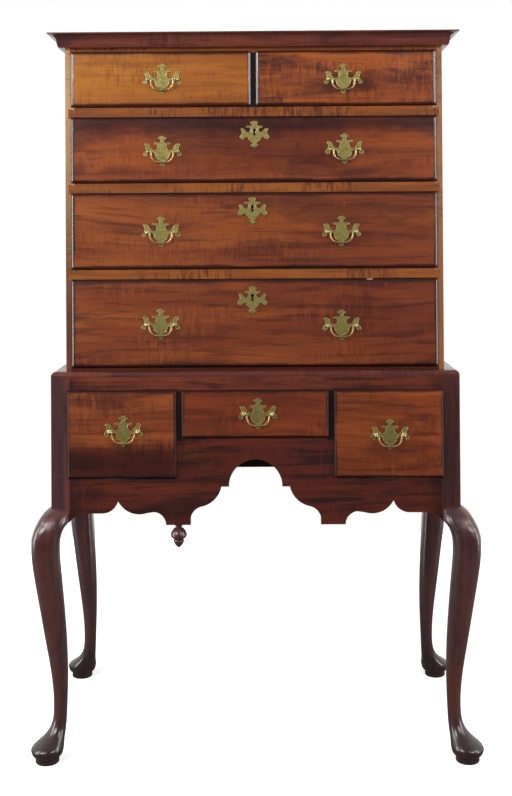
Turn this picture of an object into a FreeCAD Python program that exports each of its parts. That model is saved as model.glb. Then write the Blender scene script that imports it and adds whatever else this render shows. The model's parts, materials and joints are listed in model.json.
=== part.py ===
import FreeCAD, Part
import math
import os
import Sketcher
from types import SimpleNamespace
from FreeCAD import Vector

# A highboy: a chest of five drawers on a lower case of three, on four cabriole legs.
# Millimetres.  X to the right, Y to the back, Z up; the origin is on the floor below
# the middle of the lower case.  Every board, moulding and fitting is a piece of its own.

SIZES = {
    # The lower case and its posts
    "LowerDepth": 508,
    "LegLength": 566,
    "PostWidth": 44,
    "CaseBoard": 22,
    "TenonThickness": 10,
    "TenonLength": 24,
    "TenonInset": 14,
    "FlankDepth": 103,
    "SideDrawerHeight": 207,
    "CentreDrawerHeight": 111,
    "SideDrawerWidth": 253,
    "DividerWidth": 21,
    "TopRailHeight": 36,
    "BackBoardRise": 29,
    "DustBoard": 14,
    # The shaped skirt between the front legs
    "ArchHalfWidth": 64,
    "ArchHeight": 65,
    "SpringHeight": 91,
    "ShoulderWidth": 18,
    "OgeeReach": 46,
    "OgeeDrop": 47,
    "CoveReach": 28,
    "CoveDrop": 27,
    "BlockWidth": 59,
    "BlockDrop": 8,
    "ScoopReach": 28,
    "ScoopRise": 31,
    "LobeReach": 18,
    "LobeDip": 2.5,
    "CuspRise": 57,
    "CuspFromPost": 116,
    "EarRise": 28,
    "EarReach": 46,
    "EarLobe": 40,
    # The shaped lower edges of the end boards
    "EndSkirtRise": 19,
    "EndCuspReach": 60,
    "EndArchRise": 34,
    # The turned drop below the skirt
    "DropNeck": 6,
    "DropBall": 20,
    "DropBell": 13,
    "DropLength": 57,
    "DropFlange": 11.5,
    "DropPeg": 5,
    "DropPegFit": 0.1,
    "DropPegLength": 16,
    # The pad feet
    "PadHeight": 14,
    "PadRadius": 28,
    "PadBevel": 2,
    # The moulding at the waist
    "WaistHeight": 13,
    "WaistBulge": 11,
    "WaistLip": 2,
    # The upper case
    "UpperWidth": 914,
    "UpperSetback": 25,
    "SideStep": 33,
    "WaistClearance": 0.5,
    "UpperBoard": 22,
    "BottomBoard": 20,
    "TopBoard": 20,
    "BladeThickness": 28,
    "BladeDepth": 70,
    "BladeTongue": 14,
    "BladeShoulder": 6,
    "BladeFlare": 4,
    "BoardHousing": 9,
    "LowDrawerHeight": 209,
    "MiddleDrawerHeight": 181,
    "HighDrawerHeight": 156,
    "SmallDrawerHeight": 131,
    "SmallDivider": 26,
    "SmallDividerDepth": 42,
    "DividerTenon": 8,
    "FriezeRail": 47,
    "BackThickness": 12,
    "BackRabbet": 11,
    "RunnerWidth": 22,
    "RunnerHeight": 20,
    "GuideHeight": 18,
    # The cornice
    "CorniceHeight": 33,
    "CorniceReach": 37,
    "CorniceFillet": 3,
    "CorniceCoveDrop": 11,
    "CorniceCoveReach": 19,
    "CorniceFoot": 14,
    # The drawers
    "FrontThickness": 16,
    "LipThickness": 8,
    "LipOverlap": 5,
    "WideLipOverlap": 8,
    "LipRound": 7.5,
    "FrontSideClearance": 1.5,
    "FrontTopClearance": 2.5,
    "FrontLift": 1,
    "DrawerSide": 11,
    "DrawerSideDrop": 4,
    "DrawerBack": 11,
    "DrawerBackDrop": 8,
    "DrawerBottom": 9,
    "GrooveHeight": 7,
    "GrooveDepth": 5,
    "DrawerStopGap": 10,
    "TailLength": 11,
    "TailPitch": 44,
    "TailSlope": 6,
    "PinWidth": 8,
    # The brasses: plates, posts, nuts and bails
    "PlateWidth": 92,
    "PlateHeight": 74,
    "PlateThickness": 1.2,
    "PlateRise": 2,
    "EscutcheonWidth": 71,
    "EscutcheonHeight": 65,
    "PostSpacing": 67,
    "PostShank": 2.4,
    "PostCollar": 5.5,
    "PostCollarHeight": 1.8,
    "PostNeck": 3,
    "PostHead": 4.2,
    "PostReach": 9.5,
    "PostFit": 0.12,
    "NutWidth": 11,
    "NutHeight": 4,
    "BailRod": 2.25,
    "BailDrop": 25,
    "BailCorner": 18,
    "BailPintle": 1.4,
    "BailPintleLength": 3.2,
    "BailPintleFit": 0.12,
    "BailSideClearance": 0.35,
    # The locks of the three long drawers
    "KeyholeWidth": 8,
    "KeySlotWidth": 5,
    "KeyholeHeight": 17,
    "LockWidth": 64,
    "LockHeight": 52,
    "LockDepth": 9,
    "BoltWidth": 22,
    "BoltThickness": 4,
    "BoltHeight": 24,
    "BoltFit": 0.3,
    "BoltTravel": 8,
    "BoltMortiseFit": 1.5,
}

# The cabriole leg, from the toe up: at each station its height and its reach outwards
# from the post's centre line, its width, and how round it is there, from 0 to 1.
# The heights are shares of the leg's length, because the curve is drawn between the
# floor and the post's underside; reach and width are real sizes.
LEG_CURVE = {
    "Toe": (0.046, 32.0, 74.5, 0.98),
    "Rim": (0.057, 31.6, 76.4, 0.98),
    "Instep": (0.076, 26.5, 67.0, 0.98),
    "Vamp": (0.100, 17.5, 50.0, 0.98),
    "Heel": (0.130, 10.0, 38.0, 0.98),
    "Ankle": (0.200, 5.0, 32.0, 0.96),
    "Shin": (0.330, 5.6, 37.5, 0.90),
    "Calf": (0.500, 13.0, 49.5, 0.80),
    "HighCalf": (0.650, 21.5, 56.5, 0.72),
    "UnderKnee": (0.790, 30.0, 61.5, 0.64),
    "Knee": (0.900, 34.0, 63.5, 0.60),
    "OverKnee": (0.955, 31.0, 66.0, 0.62),
    "UnderBrow": (0.981, 25.5, 69.5, 0.66),
    "Brow": (1.000, 17.5, 74.0, 0.68),
    "Crest": (1.035, 11.3, 62.6, 0.76),
    "Tip": (1.062, 3.8, 35.4, 0.90),
}
for station, (share, reach, width, roundness) in LEG_CURVE.items():
    SIZES[station + "Share"] = share
    SIZES[station + "Reach"] = reach
    SIZES[station + "Width"] = width

# The brasses were put on by hand, each a little off true.  For every pull: its place
# across the case, and the height of its hinge line above the middle of its drawer.
PULLS = {
    "SmallLeft": (-220.5, 1),
    "SmallRight": (217.5, -1),
    "HighLeft": (-221, -2),
    "HighRight": (219.5, 1),
    "MiddleLeft": (-225, -0.5),
    "MiddleRight": (210.5, -1.5),
    "LowLeft": (-227, -0.5),
    "LowRight": (210, -5),
    "SideLeft": (-315.5, 10),
    "SideRight": (321.5, -0.5),
    "Centre": (6.5, 2.5),
}
for pull, (across, lift) in PULLS.items():
    SIZES[pull + "PullAcross"] = across
    SIZES[pull + "PullLift"] = lift

# For every lock: its keyhole's place across, and its depth below the top of the opening.
KEYHOLES = {
    "High": (2, 34),
    "Middle": (-4, 34),
    "Low": (-5, 40.5),
}
for lock, (across, drop) in KEYHOLES.items():
    SIZES[lock + "KeyholeAcross"] = across
    SIZES[lock + "KeyholeDrop"] = drop

# The outlines of the two kinds of brass plate, right half, from the top centre to the
# bottom centre: across and up in shares of half the width and half the height, and the
# bulge of the arc to the next point (0 is a straight line, 1 a half circle; a positive
# arc is turned anticlockwise).
PULL_PLATE = [
    (0.00, 1.00, -0.30), (0.13, 0.91, 0.20), (0.17, 0.89, -0.90), (0.19, 0.77, 0.15),
    (0.10, 0.72, 0.15), (0.11, 0.55, 0.00), (0.39, 0.55, -0.90), (0.39, 0.41, 0.10),
    (0.25, 0.36, 0.25), (0.31, 0.07, 0.35), (0.60, 0.22, 0.10), (0.68, 0.42, -0.15),
    (0.80, 0.50, -0.40), (0.95, 0.39, 0.15), (0.87, 0.18, 0.20), (0.91, -0.02, 0.10),
    (1.00, -0.16, -0.75), (0.81, -0.34, 0.10), (0.72, -0.16, 0.10), (0.46, -0.12, 0.20),
    (0.38, -0.24, -0.30), (0.13, -0.64, 0.20), (0.10, -0.74, 0.20), (0.15, -0.85, -0.20),
    (0.00, -1.01, 0.00),
]
ESCUTCHEON = [
    (0.00, 0.85, -0.15), (0.22, 0.78, -0.80), (0.20, 0.64, 0.15), (0.17, 0.50, 0.00),
    (0.51, 0.47, -0.90), (0.51, 0.33, 0.10), (0.27, 0.27, 0.25), (0.34, 0.02, 0.20),
    (0.58, 0.07, 0.10), (0.70, 0.25, -0.50), (0.95, 0.24, 0.15), (0.85, -0.06, 0.15),
    (1.00, -0.30, -0.75), (0.74, -0.50, 0.15), (0.50, -0.38, -0.12), (0.17, -0.79, 0.20),
    (0.13, -0.86, 0.10), (0.24, -0.93, -0.60), (0.20, -1.03, 0.00), (0.00, -1.18, 0.00),
]

QUARTER = math.tan(math.pi / 8)  # the bulge of a quarter circle
BACK_BOARDS = 3


class Size:
    """A length: its value now, and the same formula as text for binding to the sheet."""

    def __init__(self, value, formula):
        self.value = float(value)
        self.formula = formula

    def _with(self, other, sign, result):
        return Size(result, "(%s %s %s)" % (self.formula, sign, as_size(other).formula))

    def __add__(self, other):
        return self._with(other, "+", self.value + as_size(other).value)

    def __sub__(self, other):
        return self._with(other, "-", self.value - as_size(other).value)

    def __mul__(self, other):
        return self._with(other, "*", self.value * as_size(other).value)

    def __truediv__(self, other):
        return self._with(other, "/", self.value / as_size(other).value)

    def __radd__(self, other):
        return as_size(other) + self

    def __rsub__(self, other):
        return as_size(other) - self

    def __rmul__(self, other):
        return as_size(other) * self

    def __neg__(self):
        return Size(-self.value, "(0 - %s)" % self.formula)


def as_size(number):
    """A plain number as a Size; a Size is returned as it is."""
    if isinstance(number, Size):
        return number
    return Size(number, repr(float(number)) if number >= 0 else "(0 - %r)" % -float(number))


def root(length):
    """The square root of a Size."""
    return Size(math.sqrt(length.value), "sqrt(%s)" % length.formula)


doc = FreeCAD.newDocument("Highboy")
sheet = doc.addObject("Spreadsheet::Sheet", "Sizes")
for line, (name, number) in enumerate(SIZES.items(), start=1):
    sheet.set("A%d" % line, name)
    sheet.set("B%d" % line, str(number))
    sheet.setAlias("B%d" % line, name)
doc.recompute()
cell = SimpleNamespace(**{name: Size(sheet.get(name), "Sizes." + name) for name in SIZES})

nodes = {}


# ---------------------------------------------------------------- helpers

def bind(thing, place, size):
    """Bind one property of a document object to a formula of the sheet."""
    thing.setExpression(place, as_size(size).formula)


def block(name, x, y, z):
    """A box between two corners; x, y and z are pairs, low and high."""
    piece = doc.addObject("Part::Box", name)
    for side, axis, (low, high) in zip(("Length", "Width", "Height"), "xyz", (x, y, z)):
        bind(piece, side, as_size(high) - low)
        bind(piece, ".Placement.Base." + axis, low)
    return piece


def rod(name, radius, length, x, y, z, along):
    """A cylinder from a point along +X, +Y or +Z."""
    turns = {"x": (Vector(0, 1, 0), 90), "y": (Vector(1, 0, 0), -90), "z": (Vector(0, 0, 1), 0)}
    piece = doc.addObject("Part::Cylinder", name)
    piece.Placement.Rotation = FreeCAD.Rotation(*turns[along])
    bind(piece, "Radius", radius)
    bind(piece, "Height", length)
    for axis, value in zip("xyz", (x, y, z)):
        bind(piece, ".Placement.Base." + axis, value)
    return piece


def cut(name, base, *tools):
    """A piece with other pieces' shapes taken out of it, one after the other."""
    for tool in tools:
        piece = doc.addObject("Part::Cut", name)
        piece.Base = base
        piece.Tool = tool
        base = piece
    return base


def join(name, *parts):
    """One solid out of parts that touch or overlap."""
    piece = doc.addObject("Part::MultiFuse", name)
    piece.Shapes = list(parts)
    return piece


def shared(name, first, second):
    """The space that two shapes have in common."""
    piece = doc.addObject("Part::Common", name)
    piece.Base = first
    piece.Tool = second
    return piece


def group(name, *parts):
    """Separate solids kept together under one name."""
    piece = doc.addObject("Part::Compound", name)
    piece.Links = list(parts)
    return piece


def placed(name, source, x, y, z):
    """A copy of a piece that is modelled at the origin, moved to its place."""
    piece = group(name, source)
    for axis, value in zip("xyz", (x, y, z)):
        bind(piece, ".Placement.Base." + axis, value)
    return piece


def mirrored(name, source, normal, **through):
    """A mirror image; through gives one coordinate of the mirror plane."""
    piece = doc.addObject("Part::Mirroring", name)
    piece.Source = source
    piece.Normal = normal
    for axis, value in through.items():
        bind(piece, ".Base." + axis, value)
    return piece


def node(name, piece):
    """Give a sub-part its name."""
    piece.Label = name
    nodes[name] = piece
    return piece


def new_body(name):
    return doc.addObject("PartDesign::Body", name)


def new_sketch(body, plane, depth, across):
    """An empty sketch on one of a body's own planes.

    plane is XY, XZ or YZ; depth moves the sketch along +Z, +Y or +X, and across moves it
    along its own first axis.
    """
    sketch = body.newObject("Sketcher::SketchObject", body.Name + "_outline")
    role = plane + "_Plane"
    origin_plane = [p for p in body.Origin.OriginFeatures if p.Role == role][0]
    sketch.AttachmentSupport = [(origin_plane, "")]
    sketch.MapMode = "FlatFace"
    bind(sketch, ".AttachmentOffset.Base.x", across)
    bind(sketch, ".AttachmentOffset.Base.z", -as_size(depth) if plane == "XZ" else depth)
    return sketch


def outline(body, plane, depth, points, across=0, closed=True):
    """A sketch of lines and arcs; points are (across, up, bulge to the next point)."""
    sketch = new_sketch(body, plane, depth, across)
    corners = [(as_size(a), as_size(b), bulge) for a, b, bulge in points]
    bindings = []
    sides = len(corners) if closed else len(corners) - 1
    for number, (a, b, bulge) in enumerate(corners[:sides]):
        c, d, _ = corners[(number + 1) % len(corners)]
        start = Vector(a.value, b.value, 0)
        end = Vector(c.value, d.value, 0)
        if bulge:
            side = Vector(end.y - start.y, start.x - end.x, 0)
            middle = (start + end) * 0.5 + side * (bulge * 0.5)
            sketch.addGeometry(Part.Arc(start, middle, end))
            radius = root((c - a) * (c - a) + (d - b) * (d - b))
            radius = radius * ((1 + bulge * bulge) / (4 * abs(bulge)))
            bindings.append((Sketcher.Constraint("Radius", number, radius.value), radius))
        else:
            sketch.addGeometry(Part.LineSegment(start, end))
    joints = []
    for number, (a, b, bulge) in enumerate(corners):
        before = (number - 1) % len(corners)
        # An arc drawn clockwise has its ends the other way round in the sketch.
        start_point = (number, 2 if bulge < 0 else 1)
        end_point = (before, 1 if corners[before][2] < 0 else 2)
        if closed or 0 < number < sides:
            joints.append(Sketcher.Constraint("Coincident", *end_point, *start_point))
        point = start_point if number < sides else end_point
        bindings.append((Sketcher.Constraint("DistanceX", -1, 1, *point, a.value), a))
        bindings.append((Sketcher.Constraint("DistanceY", -1, 1, *point, b.value), b))
    sketch.addConstraint(joints + [constraint for constraint, _ in bindings])
    for number, (_, size) in enumerate(bindings, start=len(joints)):
        bind(sketch, "Constraints[%d]" % number, size)
    return sketch


def disc(body, plane, depth, across, radius):
    """A sketch of one circle about its own origin, moved along its first axis."""
    sketch = new_sketch(body, plane, depth, across)
    sketch.addGeometry(Part.Circle(Vector(0, 0, 0), Vector(0, 0, 1), radius.value))
    sketch.addConstraint(Sketcher.Constraint("Coincident", 0, 3, -1, 1))
    sketch.addConstraint(Sketcher.Constraint("Radius", 0, radius.value))
    bind(sketch, "Constraints[1]", radius)
    return sketch


def pad(body, sketch, length, backwards=False):
    """Extrude a sketch along its normal (-Y for an XZ sketch), or the other way."""
    feature = body.newObject("PartDesign::Pad", body.Name + "_pad")
    feature.Profile = sketch
    feature.Reversed = backwards
    bind(feature, "Length", length)
    return feature


def slab(name, plane, depth, thickness, points, across=0):
    """A board or prism with a drawn outline."""
    body = new_body(name)
    pad(body, outline(body, plane, depth, points, across), thickness)
    return body


def turned(body, sketch):
    """Turn a profile of (radius, height, bulge) points about its sketch's upright axis."""
    feature = body.newObject("PartDesign::Revolution", body.Name + "_turning")
    feature.Profile = sketch
    feature.ReferenceAxis = (sketch, ["V_Axis"])
    feature.Angle = 360
    return feature


def both_halves(half):
    """A closed outline from its right half, listed from the top centre to the bottom."""
    left = []
    for (a, b, _), (_, _, bulge) in zip(half[:0:-1], half[-2::-1]):
        left.append((-as_size(a), b, bulge))
    return half[:-1] + left


def rectangle(low_a, high_a, low_b, high_b):
    return [(low_a, low_b, 0), (high_a, low_b, 0), (high_a, high_b, 0), (low_a, high_b, 0)]


# ---------------------------------------------------------------- levels and planes

upper_side = cell.UpperWidth / 2
lower_side = upper_side + cell.SideStep
lower_front = -cell.LowerDepth / 2
lower_back = cell.LowerDepth / 2
post_inside = lower_side - cell.PostWidth
post_middle = lower_side - cell.PostWidth / 2
post_middle_y = lower_front + cell.PostWidth / 2
post_back = lower_front + cell.PostWidth
flank_top = cell.LegLength + cell.FlankDepth
drawers_top = flank_top + cell.SideDrawerHeight
lower_top = drawers_top + cell.TopRailHeight
centre_sill = drawers_top - cell.CentreDrawerHeight
divider_outside = post_inside - cell.SideDrawerWidth
divider_inside = divider_outside - cell.DividerWidth
apron_back = lower_front + cell.CaseBoard
apron_middle = lower_front + cell.CaseBoard / 2
block_middle = (cell.ArchHalfWidth + cell.ShoulderWidth + cell.OgeeReach + cell.CoveReach
                + cell.BlockWidth / 2)
back_board_face = lower_back - cell.CaseBoard

upper_inside = upper_side - cell.UpperBoard
upper_front = lower_front + cell.UpperSetback
upper_back = lower_back
low_sill = lower_top + cell.BottomBoard
low_head = low_sill + cell.LowDrawerHeight
middle_sill = low_head + cell.BladeThickness
middle_head = middle_sill + cell.MiddleDrawerHeight
high_sill = middle_head + cell.BladeThickness
high_head = high_sill + cell.HighDrawerHeight
small_sill = high_head + cell.BladeThickness
small_head = small_sill + cell.SmallDrawerHeight
upper_top = small_head + cell.FriezeRail
back_boards_face = upper_back - cell.BackThickness


# ---------------------------------------------------------------- the lower case

def rail_tenons(name, across, x, z):
    """A tenon at each end of a board that runs from left to right; across is its middle."""
    half = cell.TenonThickness / 2
    right = block(name + "_tenon", (x, x + cell.TenonLength), (across - half, across + half), z)
    return [right, mirrored(name + "_tenon_left", right, Vector(1, 0, 0))]


def front_apron():
    """The board below the lower drawers, with its arch, cusps and drop blocks."""
    block_bottom = cell.LegLength - cell.BlockDrop
    spring = block_bottom + cell.SpringHeight
    shoulder = cell.ArchHalfWidth + cell.ShoulderWidth
    ogee_end = shoulder + cell.OgeeReach
    block_inside = ogee_end + cell.CoveReach
    block_outside = block_inside + cell.BlockWidth
    scoop_end = block_outside + cell.ScoopReach
    scoop_top = block_bottom + cell.ScoopRise
    cusp = post_inside - cell.CuspFromPost
    ear_bottom = block_bottom + cell.EarRise
    half = [
        (0, centre_sill, 0),
        (divider_inside, centre_sill, 0),
        (divider_inside, flank_top, 0),
        (post_inside, flank_top, 0),
        (post_inside, cell.LegLength, 0.30),
        (post_inside - cell.EarReach, ear_bottom, 0),
        (cusp + cell.EarLobe, ear_bottom, -0.35),
        (cusp, block_bottom + cell.CuspRise, -0.37),
        (scoop_end + cell.LobeReach, scoop_top - cell.LobeDip, 0),
        (scoop_end, scoop_top, 0.38),
        (block_outside, block_bottom, 0),
        (block_inside, block_bottom, 0),
        (block_inside, spring - cell.OgeeDrop - cell.CoveDrop, 0.31),
        (ogee_end, spring - cell.OgeeDrop, -0.29),
        (shoulder, spring, 0),
        (cell.ArchHalfWidth, spring, QUARTER),
        (0, spring + cell.ArchHeight, 0),
    ]
    board = slab("apron_board", "XZ", apron_back, cell.CaseBoard, both_halves(half))
    tenon_heights = (cell.LegLength + cell.TenonInset, flank_top - cell.TenonInset)
    tenons = rail_tenons("apron", apron_middle, post_inside, tenon_heights)
    return join("apron", board, *tenons)


def stub_tenoned(name, x, y, z):
    """A short upright with a square stub tenon at its top and its foot."""
    half = cell.TenonThickness / 2
    middle_x = (x[0] + x[1]) / 2
    middle_y = (y[0] + y[1]) / 2
    stub_x = (middle_x - half, middle_x + half)
    stub_y = (middle_y - half, middle_y + half)
    stub_z = (z[0] - cell.DividerTenon, z[1] + cell.DividerTenon)
    upright = block(name + "_upright", x, y, z)
    return join(name, upright, block(name + "_stub", stub_x, stub_y, stub_z))


def drop_finial():
    """The turned drop that hangs below the left block of the skirt, and its peg."""
    base = cell.LegLength - cell.BlockDrop
    length = cell.DropLength
    waist = cell.DropBell * 0.7
    profile = [
        (0, base - length, 0.20),
        (cell.DropBell, base - length * 0.70, 0.30),
        (waist, base - length * 0.62, 0.30),
        (cell.DropBall, base - length * 0.47, 0.30),
        (cell.DropNeck, base - length * 0.13, 0),
        (cell.DropFlange, base, 0),
        (cell.DropPeg, base, 0),
        (cell.DropPeg, base + cell.DropPegLength, 0),
        (0, base + cell.DropPegLength, 0),
    ]
    body = new_body("drop")
    turned(body, outline(body, "XZ", apron_middle, profile, across=-block_middle))
    fit = cell.DropPeg + cell.DropPegFit
    hole = rod("drop_hole", fit, cell.DropPegLength, -block_middle, apron_middle, base, "z")
    return body, hole


def end_board():
    """The right end board of the lower case, its arched lower edge and its tenons."""
    end = lower_back - cell.PostWidth
    base = cell.LegLength + cell.EndSkirtRise
    cusp = end - cell.EndCuspReach
    half = [
        (0, lower_top, 0),
        (end, lower_top, 0),
        (end, base, 0),
        (cusp, base, QUARTER),
        (cusp - cell.EndArchRise, base + cell.EndArchRise, 0),
        (0, base + cell.EndArchRise, 0),
    ]
    inner = lower_side - cell.CaseBoard
    board = slab("end_board", "YZ", inner, cell.CaseBoard, both_halves(half))
    middle = lower_side - cell.CaseBoard / 2
    half_tenon = cell.TenonThickness / 2
    x = (middle - half_tenon, middle + half_tenon)
    z = (base + cell.TenonInset, lower_top - cell.TenonInset)
    tenon = block("end_tenon", x, (-end - cell.TenonLength, end + cell.TenonLength), z)
    gap = block("end_tenon_gap", (inner, lower_side), (-end, end), z)
    return join("end_board_tenoned", board, cut("end_tenons", tenon, gap))


def rounded_square(body, height, x, y, half, roundness):
    """A level section of the leg: a square whose corners are rounded off."""
    flat = half * (1 - roundness)
    points = [
        (x - flat, y - half, 0), (x + flat, y - half, QUARTER),
        (x + half, y - flat, 0), (x + half, y + flat, QUARTER),
        (x + flat, y + half, 0), (x - flat, y + half, QUARTER),
        (x - half, y + flat, 0), (x - half, y - flat, QUARTER),
    ]
    return outline(body, "XY", height, points)


def leg_loft(body, name, stations):
    """One smooth run of the leg through some of the stations of LEG_CURVE."""
    sections = []
    for station in stations:
        height = getattr(cell, station + "Share") * cell.LegLength
        reach = getattr(cell, station + "Reach")
        half = getattr(cell, station + "Width") / 2
        roundness = LEG_CURVE[station][3]
        x = post_middle + reach
        y = post_middle_y - reach
        sections.append(rounded_square(body, height, x, y, half, roundness))
    loft = body.newObject("PartDesign::AdditiveLoft", name)
    loft.Profile = sections[0]
    loft.Sections = sections[1:]


def cabriole_leg():
    """The front right leg in one piece: pad foot, ankle, calf, knee and corner post."""
    body = new_body("leg")
    toe_x = post_middle + cell.ToeReach
    toe_y = post_middle_y - cell.ToeReach
    toe_height = cell.ToeShare * cell.LegLength
    pad_profile = [
        (0, 0, 0),
        (cell.PadRadius - cell.PadBevel, 0, 0),
        (cell.PadRadius, cell.PadBevel, 0),
        (cell.PadRadius, cell.PadHeight, 0.30),
        (cell.ToeWidth / 2, toe_height, 0),
        (0, toe_height, 0),
    ]
    turned(body, outline(body, "XZ", toe_y, pad_profile, across=toe_x))
    stations = list(LEG_CURVE)
    brow = stations.index("Brow")
    leg_loft(body, "leg_curve", stations[:brow + 1])
    leg_loft(body, "leg_brow", stations[brow:])
    corner = rectangle(post_inside, lower_side, lower_front, post_back)
    pad(body, outline(body, "XY", cell.LegLength, corner), lower_top - cell.LegLength)
    return body


def waist_moulding():
    """The quarter round on top of the lower case, mitred at the front corners."""
    top = lower_top + cell.WaistHeight
    inner_y = upper_front - cell.WaistClearance
    inner_x = upper_side + cell.WaistClearance
    mitre_x = lower_side - (inner_y - lower_front)
    lip = lower_top + cell.WaistLip
    front_profile = [
        (lower_front, lower_top, 0),
        (lower_front, lip, -QUARTER),
        (lower_front + cell.WaistBulge, top, 0),
        (inner_y, top, 0),
        (inner_y, lower_top, 0),
    ]
    side_profile = [
        (lower_side, lower_top, 0),
        (lower_side, lip, QUARTER),
        (lower_side - cell.WaistBulge, top, 0),
        (inner_x, top, 0),
        (inner_x, lower_top, 0),
    ]
    front_plan = [
        (-lower_side, lower_front, 0),
        (lower_side, lower_front, 0),
        (mitre_x, inner_y, 0),
        (-mitre_x, inner_y, 0),
    ]
    side_plan = [
        (lower_side, lower_front, 0),
        (lower_side, lower_back, 0),
        (inner_x, lower_back, 0),
        (inner_x, inner_y, 0),
        (mitre_x, inner_y, 0),
    ]
    return mitred("waist", front_profile, side_profile, front_plan, side_plan, lower_side,
                  lower_front, lower_top, top)


def mitred(name, front_profile, side_profile, front_plan, side_plan, reach, front, low, high):
    """A front length and two returns of moulding, each cut to its own plan."""
    front_run = slab(name + "_front_run", "YZ", -reach, reach * 2, front_profile)
    side_run = slab(name + "_side_run", "XZ", lower_back, lower_back - front, side_profile)
    front_cut = slab(name + "_front_plan", "XY", low, high - low, front_plan)
    side_cut = slab(name + "_side_plan", "XY", low, high - low, side_plan)
    front_piece = shared(name + "_front", front_run, front_cut)
    right_piece = shared(name + "_right", side_run, side_cut)
    left_piece = mirrored(name + "_left", right_piece, Vector(1, 0, 0))
    return group(name + "_moulding", front_piece, right_piece, left_piece)


def pair(name, x, y, z):
    """A strip on the right side and its mirror image on the left."""
    right = block(name + "_right", x, y, z)
    return [right, mirrored(name + "_left", right, Vector(1, 0, 0))]


def lower_woodwork():
    """Runners and guides of the three lower drawers, and the board that covers the case."""
    between_posts = (post_back, lower_back - cell.PostWidth)
    full_depth = (apron_back, back_board_face)
    end_face = lower_side - cell.CaseBoard
    side_run = (flank_top - cell.RunnerHeight, flank_top)
    side_guide = (flank_top, flank_top + cell.GuideHeight)
    centre_run = (centre_sill - cell.RunnerHeight, centre_sill)
    centre_guide = (centre_sill, centre_sill + cell.GuideHeight)
    outer_x = (post_inside - cell.RunnerWidth, end_face)
    inner_x = (divider_inside, divider_outside + cell.RunnerWidth)
    centre_x = (divider_inside - cell.RunnerWidth, divider_outside)
    divider_x = (divider_inside, divider_outside)
    strips = pair("outer_runner", outer_x, between_posts, side_run)
    strips += pair("outer_guide", (post_inside, end_face), between_posts, side_guide)
    strips += pair("inner_runner", inner_x, full_depth, side_run)
    strips += pair("inner_guide", divider_x, full_depth, side_guide)
    strips += pair("centre_runner", centre_x, full_depth, centre_run)
    strips += pair("centre_guide", divider_x, full_depth, centre_guide)
    half = [
        (0, back_board_face, 0),
        (post_inside, back_board_face, 0),
        (post_inside, lower_back - cell.PostWidth, 0),
        (end_face, lower_back - cell.PostWidth, 0),
        (end_face, post_back, 0),
        (post_inside, post_back, 0),
        (post_inside, apron_back, 0),
        (0, apron_back, 0),
    ]
    dust = slab("dust_board", "XY", lower_top - cell.DustBoard, cell.DustBoard,
                both_halves(half))
    return group("lower_woodwork", dust, *strips)


def build_lower_case():
    """Everything that stands on the floor and doesn't move."""
    rail_z = (drawers_top, lower_top)
    rail_tenon_z = (drawers_top + cell.TopRailHeight / 4, lower_top - cell.TopRailHeight / 4)
    front_y = (lower_front, apron_back)
    back_y = (back_board_face, lower_back)
    back_middle = lower_back - cell.CaseBoard / 2
    back_base = cell.LegLength + cell.BackBoardRise
    back_tenon_z = (back_base + cell.TenonInset, lower_top - cell.TenonInset)
    rail_board = block("top_rail_board", (-post_inside, post_inside), front_y, rail_z)
    rail_ends = rail_tenons("top_rail", apron_middle, post_inside, rail_tenon_z)
    rail = join("top_rail", rail_board, *rail_ends)
    divider_x = (divider_inside, divider_outside)
    divider = stub_tenoned("divider", divider_x, front_y, (flank_top, drawers_top))
    divider_left = mirrored("divider_left", divider, Vector(1, 0, 0))
    drop, drop_hole = drop_finial()
    dividers = group("dividers", divider, divider_left)
    apron_tools = group("apron_tools", divider, divider_left, drop_hole)
    apron = cut("apron_fitted", front_apron(), apron_tools)
    rail = cut("top_rail_fitted", rail, dividers)
    back_face = block("back_face", (-post_inside, post_inside), back_y, (back_base, lower_top))
    back_ends = rail_tenons("back", back_middle, post_inside, back_tenon_z)
    back = join("back", back_face, *back_ends)
    end_right = end_board()
    end_left = mirrored("end_board_left", end_right, Vector(1, 0, 0))
    leg = cabriole_leg()
    rear_leg = mirrored("rear_leg", leg, Vector(0, 1, 0))
    front_leg = cut("front_leg", leg, group("front_tenons", apron, rail, end_right))
    rear_leg = cut("rear_leg_mortised", rear_leg, group("rear_tenons", back, end_right))
    node("leg_front_right", front_leg)
    node("leg_front_left", mirrored("leg_front_left", front_leg, Vector(1, 0, 0)))
    node("leg_rear_right", rear_leg)
    node("leg_rear_left", mirrored("leg_rear_left", rear_leg, Vector(1, 0, 0)))
    node("lower_end_board_right", end_right)
    node("lower_end_board_left", end_left)
    node("front_apron", apron)
    node("lower_back_board", back)
    node("lower_front_rail_and_dividers", group("lower_rails", rail, divider, divider_left))
    node("lower_runners_and_dust_board", lower_woodwork())
    node("waist_moulding", waist_moulding())
    node("drop_finial", drop)


# ---------------------------------------------------------------- the upper case

def blade(name, sill):
    """A drawer blade below the level sill, with a dovetail tongue at each end."""
    low = sill - cell.BladeThickness
    inset = cell.BladeShoulder
    half = [
        (0, sill, 0),
        (upper_inside, sill, 0),
        (upper_inside, sill - inset, 0),
        (upper_inside + cell.BladeTongue, sill - inset + cell.BladeFlare, 0),
        (upper_inside + cell.BladeTongue, low + inset - cell.BladeFlare, 0),
        (upper_inside, low + inset, 0),
        (upper_inside, low, 0),
        (0, low, 0),
    ]
    return slab(name, "XZ", upper_front + cell.BladeDepth, cell.BladeDepth, both_halves(half))


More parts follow.
